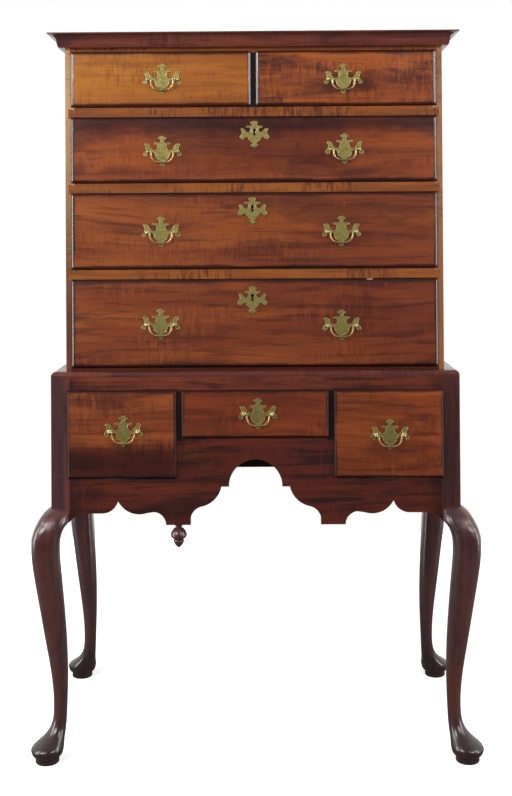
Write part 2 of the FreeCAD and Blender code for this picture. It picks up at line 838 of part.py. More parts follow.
def cornice_moulding():
    """The cornice along the front and both ends, mitred at the corners."""
    low = upper_top - cell.CorniceHeight
    reach = cell.CorniceReach
    top = upper_top
    fillet = cell.CorniceFillet
    cove_z = top - fillet - cell.CorniceCoveDrop
    cove_x = reach - cell.CorniceCoveReach

    def profile(face, way, turn):
        return [
            (face + reach * way, top, 0),
            (face + reach * way, top - fillet, 0.30 * turn),
            (face + cove_x * way, cove_z, -0.10 * turn),
            (face + cell.CorniceFoot * way, low, 0),
            (face, low, 0),
            (face, top, 0),
        ]

    side = upper_side
    front = upper_front
    front_plan = [
        (-side - reach, front - reach, 0),
        (side + reach, front - reach, 0),
        (side, front, 0),
        (-side, front, 0),
    ]
    side_plan = [
        (side + reach, front - reach, 0),
        (side + reach, upper_back, 0),
        (side, upper_back, 0),
        (side, front, 0),
    ]
    return mitred("cornice", profile(front, -1, -1), profile(side, 1, 1), front_plan,
                  side_plan, side + reach, front - reach, low, top)


def upper_woodwork():
    """Runners of the upper drawers, nailed to the sides, and those between the small two."""
    depth = (upper_front + cell.BladeDepth, back_boards_face)
    x = (upper_inside - cell.RunnerWidth, upper_inside)
    strips = []
    for name, sill in (("middle", middle_sill), ("high", high_sill), ("small", small_sill)):
        strips += pair(name + "_runner", x, depth, (sill - cell.RunnerHeight, sill))
    half_divider = cell.SmallDivider / 2
    half_runner = half_divider + cell.RunnerWidth
    guide_depth = (upper_front + cell.SmallDividerDepth, back_boards_face)
    strips.append(block("between_runner", (-half_runner, half_runner), depth,
                        (small_sill - cell.RunnerHeight, small_sill)))
    strips.append(block("between_guide", (-half_divider, half_divider), guide_depth,
                        (small_sill, small_sill + cell.GuideHeight)))
    return group("upper_woodwork", *strips)


def build_upper_case(bolt_mortises):
    """The chest that lifts off: sides, boards, blades, back and cornice."""
    housed = upper_inside + cell.BoardHousing
    housed_x = (-housed, housed)
    rail_y = (upper_front, upper_front + cell.CaseBoard)
    bottom = block("bottom_board", housed_x, (upper_front, back_boards_face),
                   (lower_top, low_sill))
    top = block("top_board", housed_x, (rail_y[1], back_boards_face),
                (upper_top - cell.TopBoard, upper_top))
    frieze = block("frieze_board", housed_x, rail_y, (small_head, upper_top))
    half_divider = cell.SmallDivider / 2
    divider_y = (upper_front, upper_front + cell.SmallDividerDepth)
    divider = stub_tenoned("small_divider", (-half_divider, half_divider), divider_y,
                           (small_sill, small_head))
    blades = [blade("low_blade", middle_sill), blade("middle_blade", high_sill)]
    blades.append(blade("high_blade", small_sill))
    fitted = [cut("fitted_blade", b, m) for b, m in zip(blades, bolt_mortises)]
    fitted[2] = cut("divided_blade", fitted[2], divider)
    frieze_fitted = cut("frieze_fitted", frieze, divider)
    divider_fitted = cut("divider_fitted", divider, top)
    back_edge = upper_inside + cell.BackRabbet
    rabbet = block("back_rabbet", (-back_edge, back_edge), (back_boards_face, upper_back),
                   (lower_top, upper_top))
    side = block("upper_side", (upper_inside, upper_side), (upper_front, upper_back),
                 (lower_top, upper_top))
    right = cut("upper_side_housed", side, group("housed_boards", bottom, top, *blades),
                group("housed_edges", frieze, rabbet))
    node("upper_side_right", right)
    node("upper_side_left", mirrored("upper_side_left", right, Vector(1, 0, 0)))
    node("upper_top_and_bottom_boards", group("upper_boards", bottom, top))
    back_height = (upper_top - lower_top) / BACK_BOARDS
    boards = []
    for number in range(BACK_BOARDS):
        low = lower_top + back_height * number
        boards.append(block("back_plank", (-back_edge, back_edge),
                            (back_boards_face, upper_back), (low, low + back_height)))
    node("upper_back_boards", group("upper_back", *boards))
    node("upper_blades_and_divider", group("upper_rails", frieze_fitted, divider_fitted, *fitted))
    node("upper_drawer_runners", upper_woodwork())
    node("cornice_moulding", cornice_moulding())


# ---------------------------------------------------------------- brasses

def cast_plate(name, points, width, height, rise=0):
    """A cast plate lying on Y = 0; its points are shares of half its width and height."""
    half = [(width * (a / 2), height * (b / 2) + rise, bulge) for a, b, bulge in points]
    right = slab(name + "_right", "XZ", 0, cell.PlateThickness, half)
    return join(name, right, mirrored(name + "_left", right, Vector(1, 0, 0)))


def make_plate():
    """The backplate of a pull, flat on the plane Y = 0, with a hole for each post."""
    plate = cast_plate("pull_plate", PULL_PLATE, cell.PlateWidth, cell.PlateHeight,
                       cell.PlateRise)
    fit = cell.PostShank + cell.PostFit
    thickness = cell.PlateThickness
    hole = rod("plate_hole", fit, thickness, cell.PostSpacing / 2, -thickness, 0, "y")
    other = mirrored("plate_hole_left", hole, Vector(1, 0, 0))
    return cut("pierced_plate", plate, group("plate_holes", hole, other))


def make_posts():
    """The turned posts that hold the bail: a shank, a collar and a head with a blind hole."""
    face = -cell.PlateThickness
    reach = -cell.PostReach
    collar = face - cell.PostCollarHeight
    shank_end = cell.LipThickness + cell.FrontThickness + cell.NutHeight + cell.PostNeck
    profile = [
        (0, reach - cell.PostHead, QUARTER),
        (cell.PostHead, reach, 0.20),
        (cell.PostNeck, reach + cell.PostHead * 0.75, 0),
        (cell.PostNeck, collar - cell.PostCollarHeight / 3, 0),
        (cell.PostCollar, collar, 0),
        (cell.PostCollar, face, 0),
        (cell.PostShank, face, 0),
        (cell.PostShank, shank_end, 0),
        (0, shank_end, 0),
    ]
    body = new_body("post")
    turned(body, outline(body, "XY", 0, profile))
    depth = cell.PostCollar - cell.PostHead + cell.BailPintleLength + cell.BailPintleFit
    hole = rod("post_hole", cell.BailPintle + cell.BailPintleFit, depth,
               -cell.PostCollar, reach, 0, "x")
    right = cut("post_right", body, hole)
    return right, mirrored("post_left", right, Vector(1, 0, 0))


def make_nut():
    """The square nut that holds a post inside the drawer."""
    half = cell.NutWidth / 2
    nut = block("nut_blank", (-half, half), (0, cell.NutHeight), (-half, half))
    hole = rod("nut_hole", cell.PostShank + cell.PostFit, cell.NutHeight, 0, 0, 0, "y")
    return cut("nut", nut, hole)


def make_bail():
    """The drop handle about its hinge line, the X axis: arms, grip and two pintles."""
    arm = cell.PostSpacing / 2 - cell.PostHead - cell.BailRod - cell.BailSideClearance
    corner = cell.BailCorner
    body = new_body("bail")
    path = outline(body, "XZ", 0, [
        (-arm, 0, 0),
        (-arm, corner - cell.BailDrop, QUARTER),
        (corner - arm, -cell.BailDrop, 0),
        (arm - corner, -cell.BailDrop, QUARTER),
        (arm, corner - cell.BailDrop, 0),
        (arm, 0, 0),
    ], closed=False)
    section = disc(body, "XY", 0, -arm, cell.BailRod)
    pipe = body.newObject("PartDesign::AdditivePipe", "bail_rod")
    pipe.Profile = section
    pipe.Spine = (path, ["Edge%d" % number for number in range(1, 6)])
    parts = [body]
    for side in (-1, 1):
        end = doc.addObject("Part::Sphere", "bail_end")
        bind(end, "Radius", cell.BailRod)
        bind(end, ".Placement.Base.x", arm * side)
        parts.append(end)
    reach = arm + cell.BailRod + cell.BailSideClearance + cell.BailPintleLength
    parts.append(rod("pintles_right", cell.BailPintle, reach - arm, arm, 0, 0, "x"))
    parts.append(rod("pintles_left", cell.BailPintle, reach - arm, -reach, 0, 0, "x"))
    return join("bail_solid", *parts)


def make_escutcheon():
    """The keyhole plate, about the middle of its keyhole."""
    width, height = cell.EscutcheonWidth, cell.EscutcheonHeight
    plate = cast_plate("escutcheon_plate", ESCUTCHEON, width, height)
    return cut("escutcheon", plate, keyhole("escutcheon", -cell.PlateThickness, 0, 0, 0))


def keyhole(name, front, back, across, height):
    """The cutter of a keyhole: a round eye above a narrow slot."""
    eye_radius = cell.KeyholeWidth / 2
    top = height + cell.KeyholeHeight / 2
    eye_height = top - eye_radius
    eye = rod(name + "_eye", eye_radius, back - as_size(front), across, front, eye_height, "y")
    half = cell.KeySlotWidth / 2
    slot = block(name + "_slot", (across - half, across + half), (front, back),
                 (height - cell.KeyholeHeight / 2, eye_height))
    return join(name + "_keyhole", eye, slot)


# ---------------------------------------------------------------- drawers

def dovetails(shoulder, end, low, high):
    """Points of a row of tails, from the lowest up, between two heights."""
    count = max(1, round((high.value - low.value) / cell.TailPitch.value))
    pitch = (high - low) / count
    wide = pitch / 2 - cell.PinWidth / 2
    length = shoulder - end if shoulder.value > end.value else end - shoulder
    narrow = wide - length / cell.TailSlope
    points = []
    for number in range(count):
        middle = low + pitch * (number + 0.5)
        points += [
            (shoulder, middle - narrow, 0),
            (end, middle - wide, 0),
            (end, middle + wide, 0),
            (shoulder, middle + narrow, 0),
        ]
    return points


def drawer_front(name, x, z, front, lap):
    """A drawer front: the moulded lip that overlaps the case, and the block behind it."""
    body = new_body(name + "_front")
    bottom = z[0] + cell.FrontLift
    head = z[1] + cell.LipOverlap
    lip = outline(body, "XZ", front, rectangle(x[0] - lap, x[1] + lap, bottom, head))
    lip_pad = pad(body, lip, cell.LipThickness)
    doc.recompute([body, lip, lip_pad])
    faces = enumerate(lip_pad.Shape.Faces, start=1)
    foremost = min(faces, key=lambda item: item[1].CenterOfMass.y)[0]
    rounding = body.newObject("PartDesign::Fillet", name + "_thumbnail")
    rounding.Base = (lip_pad, ["Face%d" % foremost])
    bind(rounding, "Radius", cell.LipRound)
    left = x[0] + cell.FrontSideClearance
    right = x[1] - cell.FrontSideClearance
    top = z[1] - cell.FrontTopClearance
    inner = outline(body, "XZ", front, rectangle(left, right, bottom, top))
    pad(body, inner, cell.FrontThickness, backwards=True)
    return body


def drawer(name, x, z, front, back, lap, pulls, lock=None):
    """One dovetailed drawer with its front, box and brasses.

    x and z are the opening's sides, lap is how far its lip covers the case at each side,
    and pulls and lock are keys of PULLS and KEYHOLES.
    """
    shoulder = front + cell.FrontThickness
    left = x[0] + cell.FrontSideClearance
    right = x[1] - cell.FrontSideClearance
    centre = (x[0] + x[1]) / 2
    side_top = z[1] - cell.FrontTopClearance - cell.DrawerSideDrop
    floor = z[0] + cell.GrooveHeight
    back_low = floor + cell.DrawerBottom
    back_high = side_top - cell.DrawerBackDrop
    back_shoulder = back - cell.DrawerBack
    points = [(shoulder, z[0], 0), (back, z[0], 0), (back, back_low, 0)]
    points += [(back_shoulder, back_low, 0)]
    points += dovetails(back_shoulder, back, back_low, back_high)
    points += [(back_shoulder, back_high, 0), (back, back_high, 0), (back, side_top, 0)]
    points += [(shoulder, side_top, 0)]
    points += dovetails(shoulder, shoulder - cell.TailLength, z[0], side_top)[::-1]
    board = slab(name + "_side", "YZ", left, cell.DrawerSide, points)
    inside = (x[1] - x[0]) / 2 - cell.FrontSideClearance - cell.DrawerSide
    groove = inside + cell.GrooveDepth
    half = [
        (0, back, 0),
        (groove, back, 0),
        (groove, shoulder, 0),
        (inside, shoulder, 0),
        (inside, shoulder - cell.GrooveDepth, 0),
        (0, shoulder - cell.GrooveDepth, 0),
    ]
    bottom = slab(name + "_bottom", "XY", floor, cell.DrawerBottom, both_halves(half), centre)
    side = cut(name + "_side_grooved", board, bottom)
    other = mirrored(name + "_side_right", side, Vector(1, 0, 0), x=centre)
    back_board = block(name + "_back", (left, right), (back_shoulder, back),
                       (back_low, back_high))
    rear = cut(name + "_back_dovetailed", back_board, group(name + "_tails", side, other))
    node(name + "_box", group(name + "_box", side, other, rear, bottom))

    face = front - cell.LipThickness
    brasses = []
    holes = []
    for number, pull in enumerate(pulls):
        place = getattr(cell, pull + "PullAcross")
        height = (z[0] + z[1]) / 2 + getattr(cell, pull + "PullLift")
        brasses.append(placed(name + "_plate", plate, place, face, height))
        for post, way in ((post_left, -1), (post_right, 1)):
            at = place + cell.PostSpacing / 2 * way
            brasses.append(placed(name + "_post", post, at, face, height))
            brasses.append(placed(name + "_nut", nut, at, shoulder, height))
            holes.append(rod(name + "_hole", cell.PostShank + cell.PostFit,
                             shoulder - face, at, face, height, "y"))
        bail_name = name + "_bail" + (("_left", "_right")[number] if len(pulls) > 1 else "")
        hinge = face - cell.PostReach
        node(bail_name, placed(bail_name, bail, place, hinge, height))
    sockets = [side, other]
    recesses = [bottom, *holes]
    mortise = None
    if lock:
        key_across = getattr(cell, lock + "KeyholeAcross")
        key_height = z[1] - getattr(cell, lock + "KeyholeDrop")
        brasses.append(placed(name + "_escutcheon", escutcheon, key_across, face, key_height))
        lock_blank, mortise = build_lock(name, shoulder, z[1], key_across)
        lock_face = shoulder - cell.LockDepth
        sockets.append(keyhole(name, face, lock_face, key_across, key_height))
        recesses.append(lock_blank)
    node(name + "_brasses", group(name + "_brasses", *brasses))
    node(name + "_front", cut(name + "_front_fitted", drawer_front(name, x, z, front, lap),
                              group(name + "_sockets", *sockets),
                              group(name + "_recesses", *recesses)))
    return mortise


def build_lock(name, shoulder, head, across):
    """A lock let into the back of a front, its bolt, and the bolt's mortise in the blade."""
    top = head - cell.FrontTopClearance
    middle = shoulder - cell.LockDepth / 2

    def about(piece, width, depth, spare, low, high):
        half_x = width / 2 + spare
        half_y = depth / 2 + spare
        return block(name + piece, (across - half_x, across + half_x),
                     (middle - half_y, middle + half_y), (low, high))

    width = cell.BoltWidth
    depth = cell.BoltThickness
    low = top - cell.BoltHeight
    blank = about("_lock_blank", cell.LockWidth, cell.LockDepth, 0, top - cell.LockHeight, top)
    slot = about("_bolt_slot", width, depth, cell.BoltFit, low - cell.BoltFit, top)
    node(name + "_lock", cut(name + "_lock", blank, slot))
    node(name + "_lock_bolt", about("_lock_bolt", width, depth, 0, low, top))
    mortise = about("_bolt_mortise", width, depth, cell.BoltMortiseFit, head,
                    head + cell.BoltTravel)
    return blank, mortise


def build_drawers():
    """The eight drawers; the mortises in the blades belong to the three locks."""
    back = back_boards_face - cell.DrawerStopGap
    wide = cell.WideLipOverlap
    full = (-upper_inside, upper_inside)
    mortises = []
    for row, z in (("Low", (low_sill, low_head)), ("Middle", (middle_sill, middle_head)),
                   ("High", (high_sill, high_head))):
        mortises.append(drawer(row.lower() + "_drawer", full, z, upper_front, back, wide,
                               (row + "Left", row + "Right"), row))
    half_divider = cell.SmallDivider / 2
    small_z = (small_sill, small_head)
    drawer("small_drawer_left", (-upper_inside, -half_divider), small_z, upper_front, back,
           wide, ("SmallLeft",))
    drawer("small_drawer_right", (half_divider, upper_inside), small_z, upper_front, back,
           wide, ("SmallRight",))
    back = back_board_face - cell.DrawerStopGap
    lap = cell.LipOverlap
    side_z = (flank_top, drawers_top)
    drawer("lower_drawer_left", (-post_inside, -divider_outside), side_z, lower_front, back,
           lap, ("SideLeft",))
    drawer("lower_drawer_right", (divider_outside, post_inside), side_z, lower_front, back,
           lap, ("SideRight",))
    drawer("lower_drawer_centre", (-divider_inside, divider_inside),
           (centre_sill, drawers_top), lower_front, back, lap, ("Centre",))
    return mortises


# ---------------------------------------------------------------- build, check, write

plate = make_plate()
post_right, post_left = make_posts()
nut = make_nut()
bail = make_bail()
escutcheon = make_escutcheon()
build_lower_case()
build_upper_case(build_drawers())
doc.recompute()

faults = [o.Name for o in doc.Objects if "Invalid" in o.State or "Error" in o.State]
for name, piece in nodes.items():
    shape = piece.Shape
    if shape.isNull() or not shape.isValid() or not shape.Solids:
        faults.append(name)
if faults:
    raise RuntimeError("not built: " + ", ".join(faults))

os.makedirs("parts", exist_ok=True)
for name, piece in nodes.items():
    piece.Shape.exportStep("parts/%s.step" % name)
    box = piece.Shape.BoundBox
    print("%-32s %2d solids %12.0f mm3  x %7.1f %7.1f  y %7.1f %7.1f  z %7.1f %7.1f" % (
        name, len(piece.Shape.Solids), piece.Shape.Volume,
        box.XMin, box.XMax, box.YMin, box.YMax, box.ZMin, box.ZMax))
print(len(nodes), "nodes")
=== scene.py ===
# %% [markdown]
# # A highboy, dressed
#
# A highboy is a tall chest of drawers on a lower case with legs.  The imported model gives
# every board, moulding and fitting its real shape and place.  This script adds what a solid
# model can't hold: the figure of the wood, the shine of the varnish, arrises worn round,
# the beaded rims of the cast brasses, nails and pegs, the light and the camera.

# %% Load the frame
import json
import math

import bmesh
import bpy
from mathutils import Matrix, Vector


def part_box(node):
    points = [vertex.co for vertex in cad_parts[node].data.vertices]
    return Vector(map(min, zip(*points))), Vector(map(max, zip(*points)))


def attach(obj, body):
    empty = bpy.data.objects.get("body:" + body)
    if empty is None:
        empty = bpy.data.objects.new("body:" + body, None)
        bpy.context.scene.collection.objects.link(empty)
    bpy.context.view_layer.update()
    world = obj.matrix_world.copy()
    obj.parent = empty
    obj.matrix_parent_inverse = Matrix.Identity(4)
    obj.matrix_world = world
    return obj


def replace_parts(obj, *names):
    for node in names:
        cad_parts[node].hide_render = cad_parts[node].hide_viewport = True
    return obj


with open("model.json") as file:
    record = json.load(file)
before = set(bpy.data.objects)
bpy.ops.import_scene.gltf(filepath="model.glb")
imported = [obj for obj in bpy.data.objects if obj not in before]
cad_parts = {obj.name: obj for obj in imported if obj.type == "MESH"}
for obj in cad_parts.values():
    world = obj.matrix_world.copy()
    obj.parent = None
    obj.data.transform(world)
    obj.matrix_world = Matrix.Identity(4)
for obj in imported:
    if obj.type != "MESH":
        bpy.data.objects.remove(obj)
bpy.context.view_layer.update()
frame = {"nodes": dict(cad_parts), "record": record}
nodes = frame["nodes"]
bodies = frame["record"]["behaviour"]["bodies"]
MM = 0.001

# %% [markdown]
# ## Small helpers
#
# Lamps and shaders work with linear light, while a colour picked on a screen is in sRGB, so
# one function turns the code of a colour into linear numbers.  A shader is a graph.  One
# function adds any node to it: inputs are given by name or number, and an input may be a
# number, a colour, or another node's output, and then the two are linked.


# %% Colours and nodes
def colour(code):
    """An sRGB hex code as linear red, green, blue and alpha."""
    parts = [int(code[i:i + 2], 16) / 255 for i in (1, 3, 5)]
    linear = [c / 12.92 if c <= 0.04045 else ((c + 0.055) / 1.055) ** 2.4 for c in parts]
    return (*linear, 1.0)


def plug(tree, socket, value):
    """Set an input, or link it where the value is another node's output."""
    if isinstance(value, bpy.types.NodeSocket):
        tree.links.new(value, socket)
    else:
        socket.default_value = value


def add(tree, kind, inputs=None, output=None, **settings):
    """Add a node with its settings and inputs; give the named output or the first in use."""
    node = tree.nodes.new(kind)
    for key, value in settings.items():
        setattr(node, key, value)
    for key, value in (inputs or {}).items():
        plug(tree, node.inputs[key], value)
    if output:
        return node.outputs[output]
    return next((socket for socket in node.outputs if socket.enabled), None)


def new_material(name):
    """An empty material: the material, its graph, its shader and its object coordinates."""
    material = bpy.data.materials.new(name)
    material.use_nodes = True
    tree = material.node_tree
    place = tree.nodes.new("ShaderNodeTexCoord").outputs["Object"]
    return material, tree, tree.nodes["Principled BSDF"], place


print("a middle grey, #808080, is %.3f in linear light" % colour("#808080")[0])

# %% [markdown]
# ## The figure of the wood
#
# Sawn wood shows fibres that run along the board, so a pattern on it is a noise that is
# stretched along the grain.  Its size is stated in millimetres: how long one mark is and
# how wide.  Below a limit the noise is nothing, above another it is full, with a smooth
# step between them.


# %% Marks
def marks(tree, place, length, width, low, high, amount=1.0, detail=4):
    """A pattern of stretched marks, from 0 between them to an amount inside them."""
    size = (length * MM, width * MM, width * MM)
    stretched = add(tree, "ShaderNodeVectorMath", {0: place, 1: size}, operation="DIVIDE")
    noise = add(tree, "ShaderNodeTexNoise",
                {"Vector": stretched, "Scale": 1.0, "Detail": detail, "Roughness": 0.58})
    return add(tree, "ShaderNodeMapRange", {0: noise, 1: low, 2: high, 3: 0.0, 4: amount},
               interpolation_type="SMOOTHSTEP")


print("a streak 300 mm long and 14 mm wide is a noise drawn out %.0f times" % (300 / 14))

# %% [markdown]
# Seven kinds of mark lie over each other, from broad bands to fine pores.  Real pores are a
# tenth of a millimetre wide and wouldn't show, so they are drawn as thin lines.  The last two
# kinds run the other way.  The fibres of these boards wave, so light catches them in ticks
# across the grain, a few millimetres apart: the dark ones are *curl* and the bright ones
# *gleam*, and both come only in patches.

# %% The kinds of mark
LAYERS = (
    # mark, its length and width in mm, limits of the noise, amount or its input, tone
    ("bands", 900, 70, 0.38, 0.62, 1.0, "Light"),
    ("clouds", 260, 75, 0.50, 0.64, "Smoke", "Dark"),
    ("streaks", 300, 14, 0.48, 0.66, "Streaks", "Dark"),
    ("threads", 150, 4, 0.50, 0.68, 0.25, "Dark"),
    ("pores", 55, 1.8, 0.52, 0.70, 0.22, "Dark"),
    ("curl", 7, 40, 0.44, 0.62, "Curl", "Dark"),
    ("gleam", 11, 55, 0.50, 0.68, 0.45, "Light"),
)
PATCHY = ("curl", "gleam")
for mark, length, width, *_ in LAYERS:
    print(mark, length, "by", width, "mm")

# %% [markdown]
# All the woods share one group of nodes.  It works in a space where X is the grain's
# direction, and each material turns its own boards there.


# %% The grain group
def grain_group():
    """A shader group that gives a wood's colour and the height of its surface."""
    tree = bpy.data.node_groups.new("Wood grain", "ShaderNodeTree")
    kinds = {"Vector": ("Place",), "Color": ("Light", "Middle", "Dark"),
             "Float": ("Streaks", "Smoke", "Curl")}
    for kind, names in kinds.items():
        for name in names:
            tree.interface.new_socket(name, in_out="INPUT", socket_type="NodeSocket" + kind)
    for name, kind in (("Colour", "Color"), ("Height", "Float")):
        tree.interface.new_socket(name, in_out="OUTPUT", socket_type="NodeSocket" + kind)
    given = tree.nodes.new("NodeGroupInput").outputs
    result = tree.nodes.new("NodeGroupOutput").inputs
    # a slow noise bends all the marks together, as a trunk's growth does
    sway = add(tree, "ShaderNodeTexNoise", {"Vector": given["Place"], "Scale": 2.5, "Detail": 1},
               "Color")
    bent = add(tree, "ShaderNodeVectorMath", {0: sway, 1: (0, 0.05, 0.05), 2: given["Place"]},
               operation="MULTIPLY_ADD")
    shade = given["Middle"]
    for mark, length, width, low, high, amount, tone in LAYERS:
        amount = given[amount] if isinstance(amount, str) else amount
        if mark in PATCHY:
            amount = marks(tree, given["Place"], 210, 70, 0.42, 0.60, amount)
        factor = marks(tree, bent, length, width, low, high, amount)
        shade = add(tree, "ShaderNodeMix", {0: factor, 6: shade, 7: given[tone]},
                    data_type="RGBA")
    plug(tree, result["Colour"], shade)
    plug(tree, result["Height"], marks(tree, bent, 40, 1.5, 0.3, 0.7, 1.0))
    return tree


GRAIN = grain_group()
TURNS = {"x": (0, 0, 0), "y": (0, 0, math.pi / 2), "z": (0, math.pi / 2, 0)}
print("grain group:", len(GRAIN.nodes), "nodes")

# %% [markdown]
# ## Dirt, fading, stains and painted shade
#
# Hands, sunlight and polish change a wood from place to place, and some of these effects
# paint in shade and light as well.  Each of these *effects* is a function that takes a colour
# and gives a changed one, and a material takes a list of them.  Multiplying by a tone darkens
# a wood and keeps its figure.  A fade follows one axis.


# %% Fading
def fade(axis, low, high, code):
    """Multiply by a tone, more and more from one coordinate to another."""
    def effect(tree, place, shade):
        parts = tree.nodes.new("ShaderNodeSeparateXYZ")
        plug(tree, parts.inputs[0], place)
        factor = add(tree, "ShaderNodeMapRange", {0: parts.outputs[axis], 1: low, 2: high},
                     interpolation_type="SMOOTHSTEP")
        return add(tree, "ShaderNodeMix", {0: factor, 6: shade, 7: colour(code)},
                   data_type="RGBA", blend_type="MULTIPLY")
    return effect


case_low, case_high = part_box("upper_side_right")
case_front = case_low[1]
print("the upper case can fade from %.3f up to %.3f m" % (case_low[2], case_high[2]))

# %% [markdown]
# A stain lies inside an upright box, and so does a patch of painted shade.  For each place the
# shader works out how far it is past the nearest side, and the tone gives way over the next
# few millimetres.  A noise moves the place a little first, so the outline wavers.


# %% Stains and painted shade
def middle_and_half(low, high):
    """The middle of a box and half its size."""
    return ([(a + b) / 2 for a, b in zip(low, high)],
            [(b - a) / 2 for a, b in zip(low, high)])


def stain_and_shade(low, high, code, soft=2 * MM, way="MULTIPLY"):
    """Multiply by a tone, or cover with it, inside an upright box with soft sides."""
    middle, half = middle_and_half(low, high)

    def effect(tree, place, shade):
        wobble = add(tree, "ShaderNodeTexNoise", {"Vector": place, "Scale": 30.0, "Detail": 4},
                     "Color")
        wobbly = add(tree, "ShaderNodeVectorMath", {0: wobble, 1: (soft, soft, soft), 2: place},
                     operation="MULTIPLY_ADD")
        offset = add(tree, "ShaderNodeVectorMath", {0: wobbly, 1: middle}, operation="SUBTRACT")
        distance = add(tree, "ShaderNodeVectorMath", {0: offset}, operation="ABSOLUTE")
        beyond = add(tree, "ShaderNodeVectorMath", {0: distance, 1: half}, operation="SUBTRACT")
        parts = tree.nodes.new("ShaderNodeSeparateXYZ")
        plug(tree, parts.inputs[0], beyond)
        x, y, z = parts.outputs
        wider = add(tree, "ShaderNodeMath", {0: x, 1: y}, operation="MAXIMUM")
        furthest = add(tree, "ShaderNodeMath", {0: wider, 1: z}, operation="MAXIMUM")
        factor = add(tree, "ShaderNodeMapRange", {0: furthest, 1: 0.0, 2: soft, 3: 1.0, 4: 0.0},
                     interpolation_type="SMOOTHSTEP")
        return add(tree, "ShaderNodeMix", {0: factor, 6: shade, 7: colour(code)},
                   data_type="RGBA", blend_type=way)
    return effect


half_side = middle_and_half(case_low, case_high)[1]
print("half of a side's box in mm:", [round(size / MM) for size in half_side])

# %% [markdown]
# Polish, wax and dirt gather in the hollow beside a drawer's lip.  There the wood is darker,
# partly from that dirt and partly as painted shade for the dark bands on the rounded lips,
# and its film is duller, because soft wax lies over it.


# %% The edges of a front
def from_edge(tree, place, low, high, axes):
    """How far a place is from the nearest edge of a front, along the given axes."""
    middle, half = middle_and_half(low, high)
    offset = add(tree, "ShaderNodeVectorMath", {0: place, 1: middle}, operation="SUBTRACT")
    distance = add(tree, "ShaderNodeVectorMath", {0: offset}, operation="ABSOLUTE")
    within = add(tree, "ShaderNodeVectorMath", {0: half, 1: distance}, operation="SUBTRACT")
    parts = tree.nodes.new("ShaderNodeSeparateXYZ")
    plug(tree, parts.inputs[0], within)
    one, other = (parts.outputs[axis] for axis in (axes[0], axes[-1]))
    return add(tree, "ShaderNodeMath", {0: one, 1: other}, operation="MINIMUM")


def edge_grime_and_shade(low, high, width, code):
    """Multiply by a tone near the edges of a drawer front: polish and dirt collect there, and it is
    painted shade for the dark bands on the rounded lips.
    """
    def effect(tree, place, shade):
        nearest = from_edge(tree, place, low, high, "XZ")
        uneven = marks(tree, place, 90, 90, 0.25, 0.75, width * 0.4)
        reach = add(tree, "ShaderNodeMath", {0: nearest, 1: uneven}, operation="SUBTRACT")
        factor = add(tree, "ShaderNodeMapRange",
                     {0: reach, 1: width * 0.3, 2: width, 3: 0.95, 4: 0.0},
                     interpolation_type="SMOOTHSTEP")
        return add(tree, "ShaderNodeMix", {0: factor, 6: shade, 7: colour(code)},
                   data_type="RGBA", blend_type="MULTIPLY")
    return effect


def waxy_edges(low, high, width, axes):
    """How much film shows: all of it, but little near the edges, where wax has built up."""
    def cover(tree, place, film):
        return add(tree, "ShaderNodeMapRange",
                   {0: from_edge(tree, place, low, high, axes), 1: width / 2, 2: width,
                    3: film * 0.15, 4: film}, interpolation_type="SMOOTHSTEP")
    return cover


# how far in the grime and the painted shade of a front's lips reach
GRIME_AND_SHADE = {"upper": 10 * MM, "lower": 8 * MM}
WAX = 8 * MM
print("grime reaches %.0f mm in, wax %.0f mm" % (GRIME_AND_SHADE["upper"] / MM, WAX / MM))

# %% [markdown]
# ## Varnished wood
#
# Shellac varnish is a clear film, laid over the wood and polished.  So it is the shader's
# *coat*: the wood below stays soft, while highlights run along every edge.  Rubbed on by
# hand, it is never quite level, so the coat has a slow wave of its own.  It fills the pores,
# so the fibres make little relief, and as they no longer meet air, their own shine is low.
#
# Shellac's refractive index is about 1.52.  The old film is set a little above it, and the
# waxed film of the upper fronts well above it, because the white lines on their lips are
# thinner than the render's pixels and would get lost.

# %% A wood material
VARNISH_INDEX = 1.6
POLISH_INDEX = 1.9
DRY_ROUGHNESS = 0.55
FIBRE_SHINE = 0.2
FILLED_RELIEF, OPEN_RELIEF = 0.06, 0.3


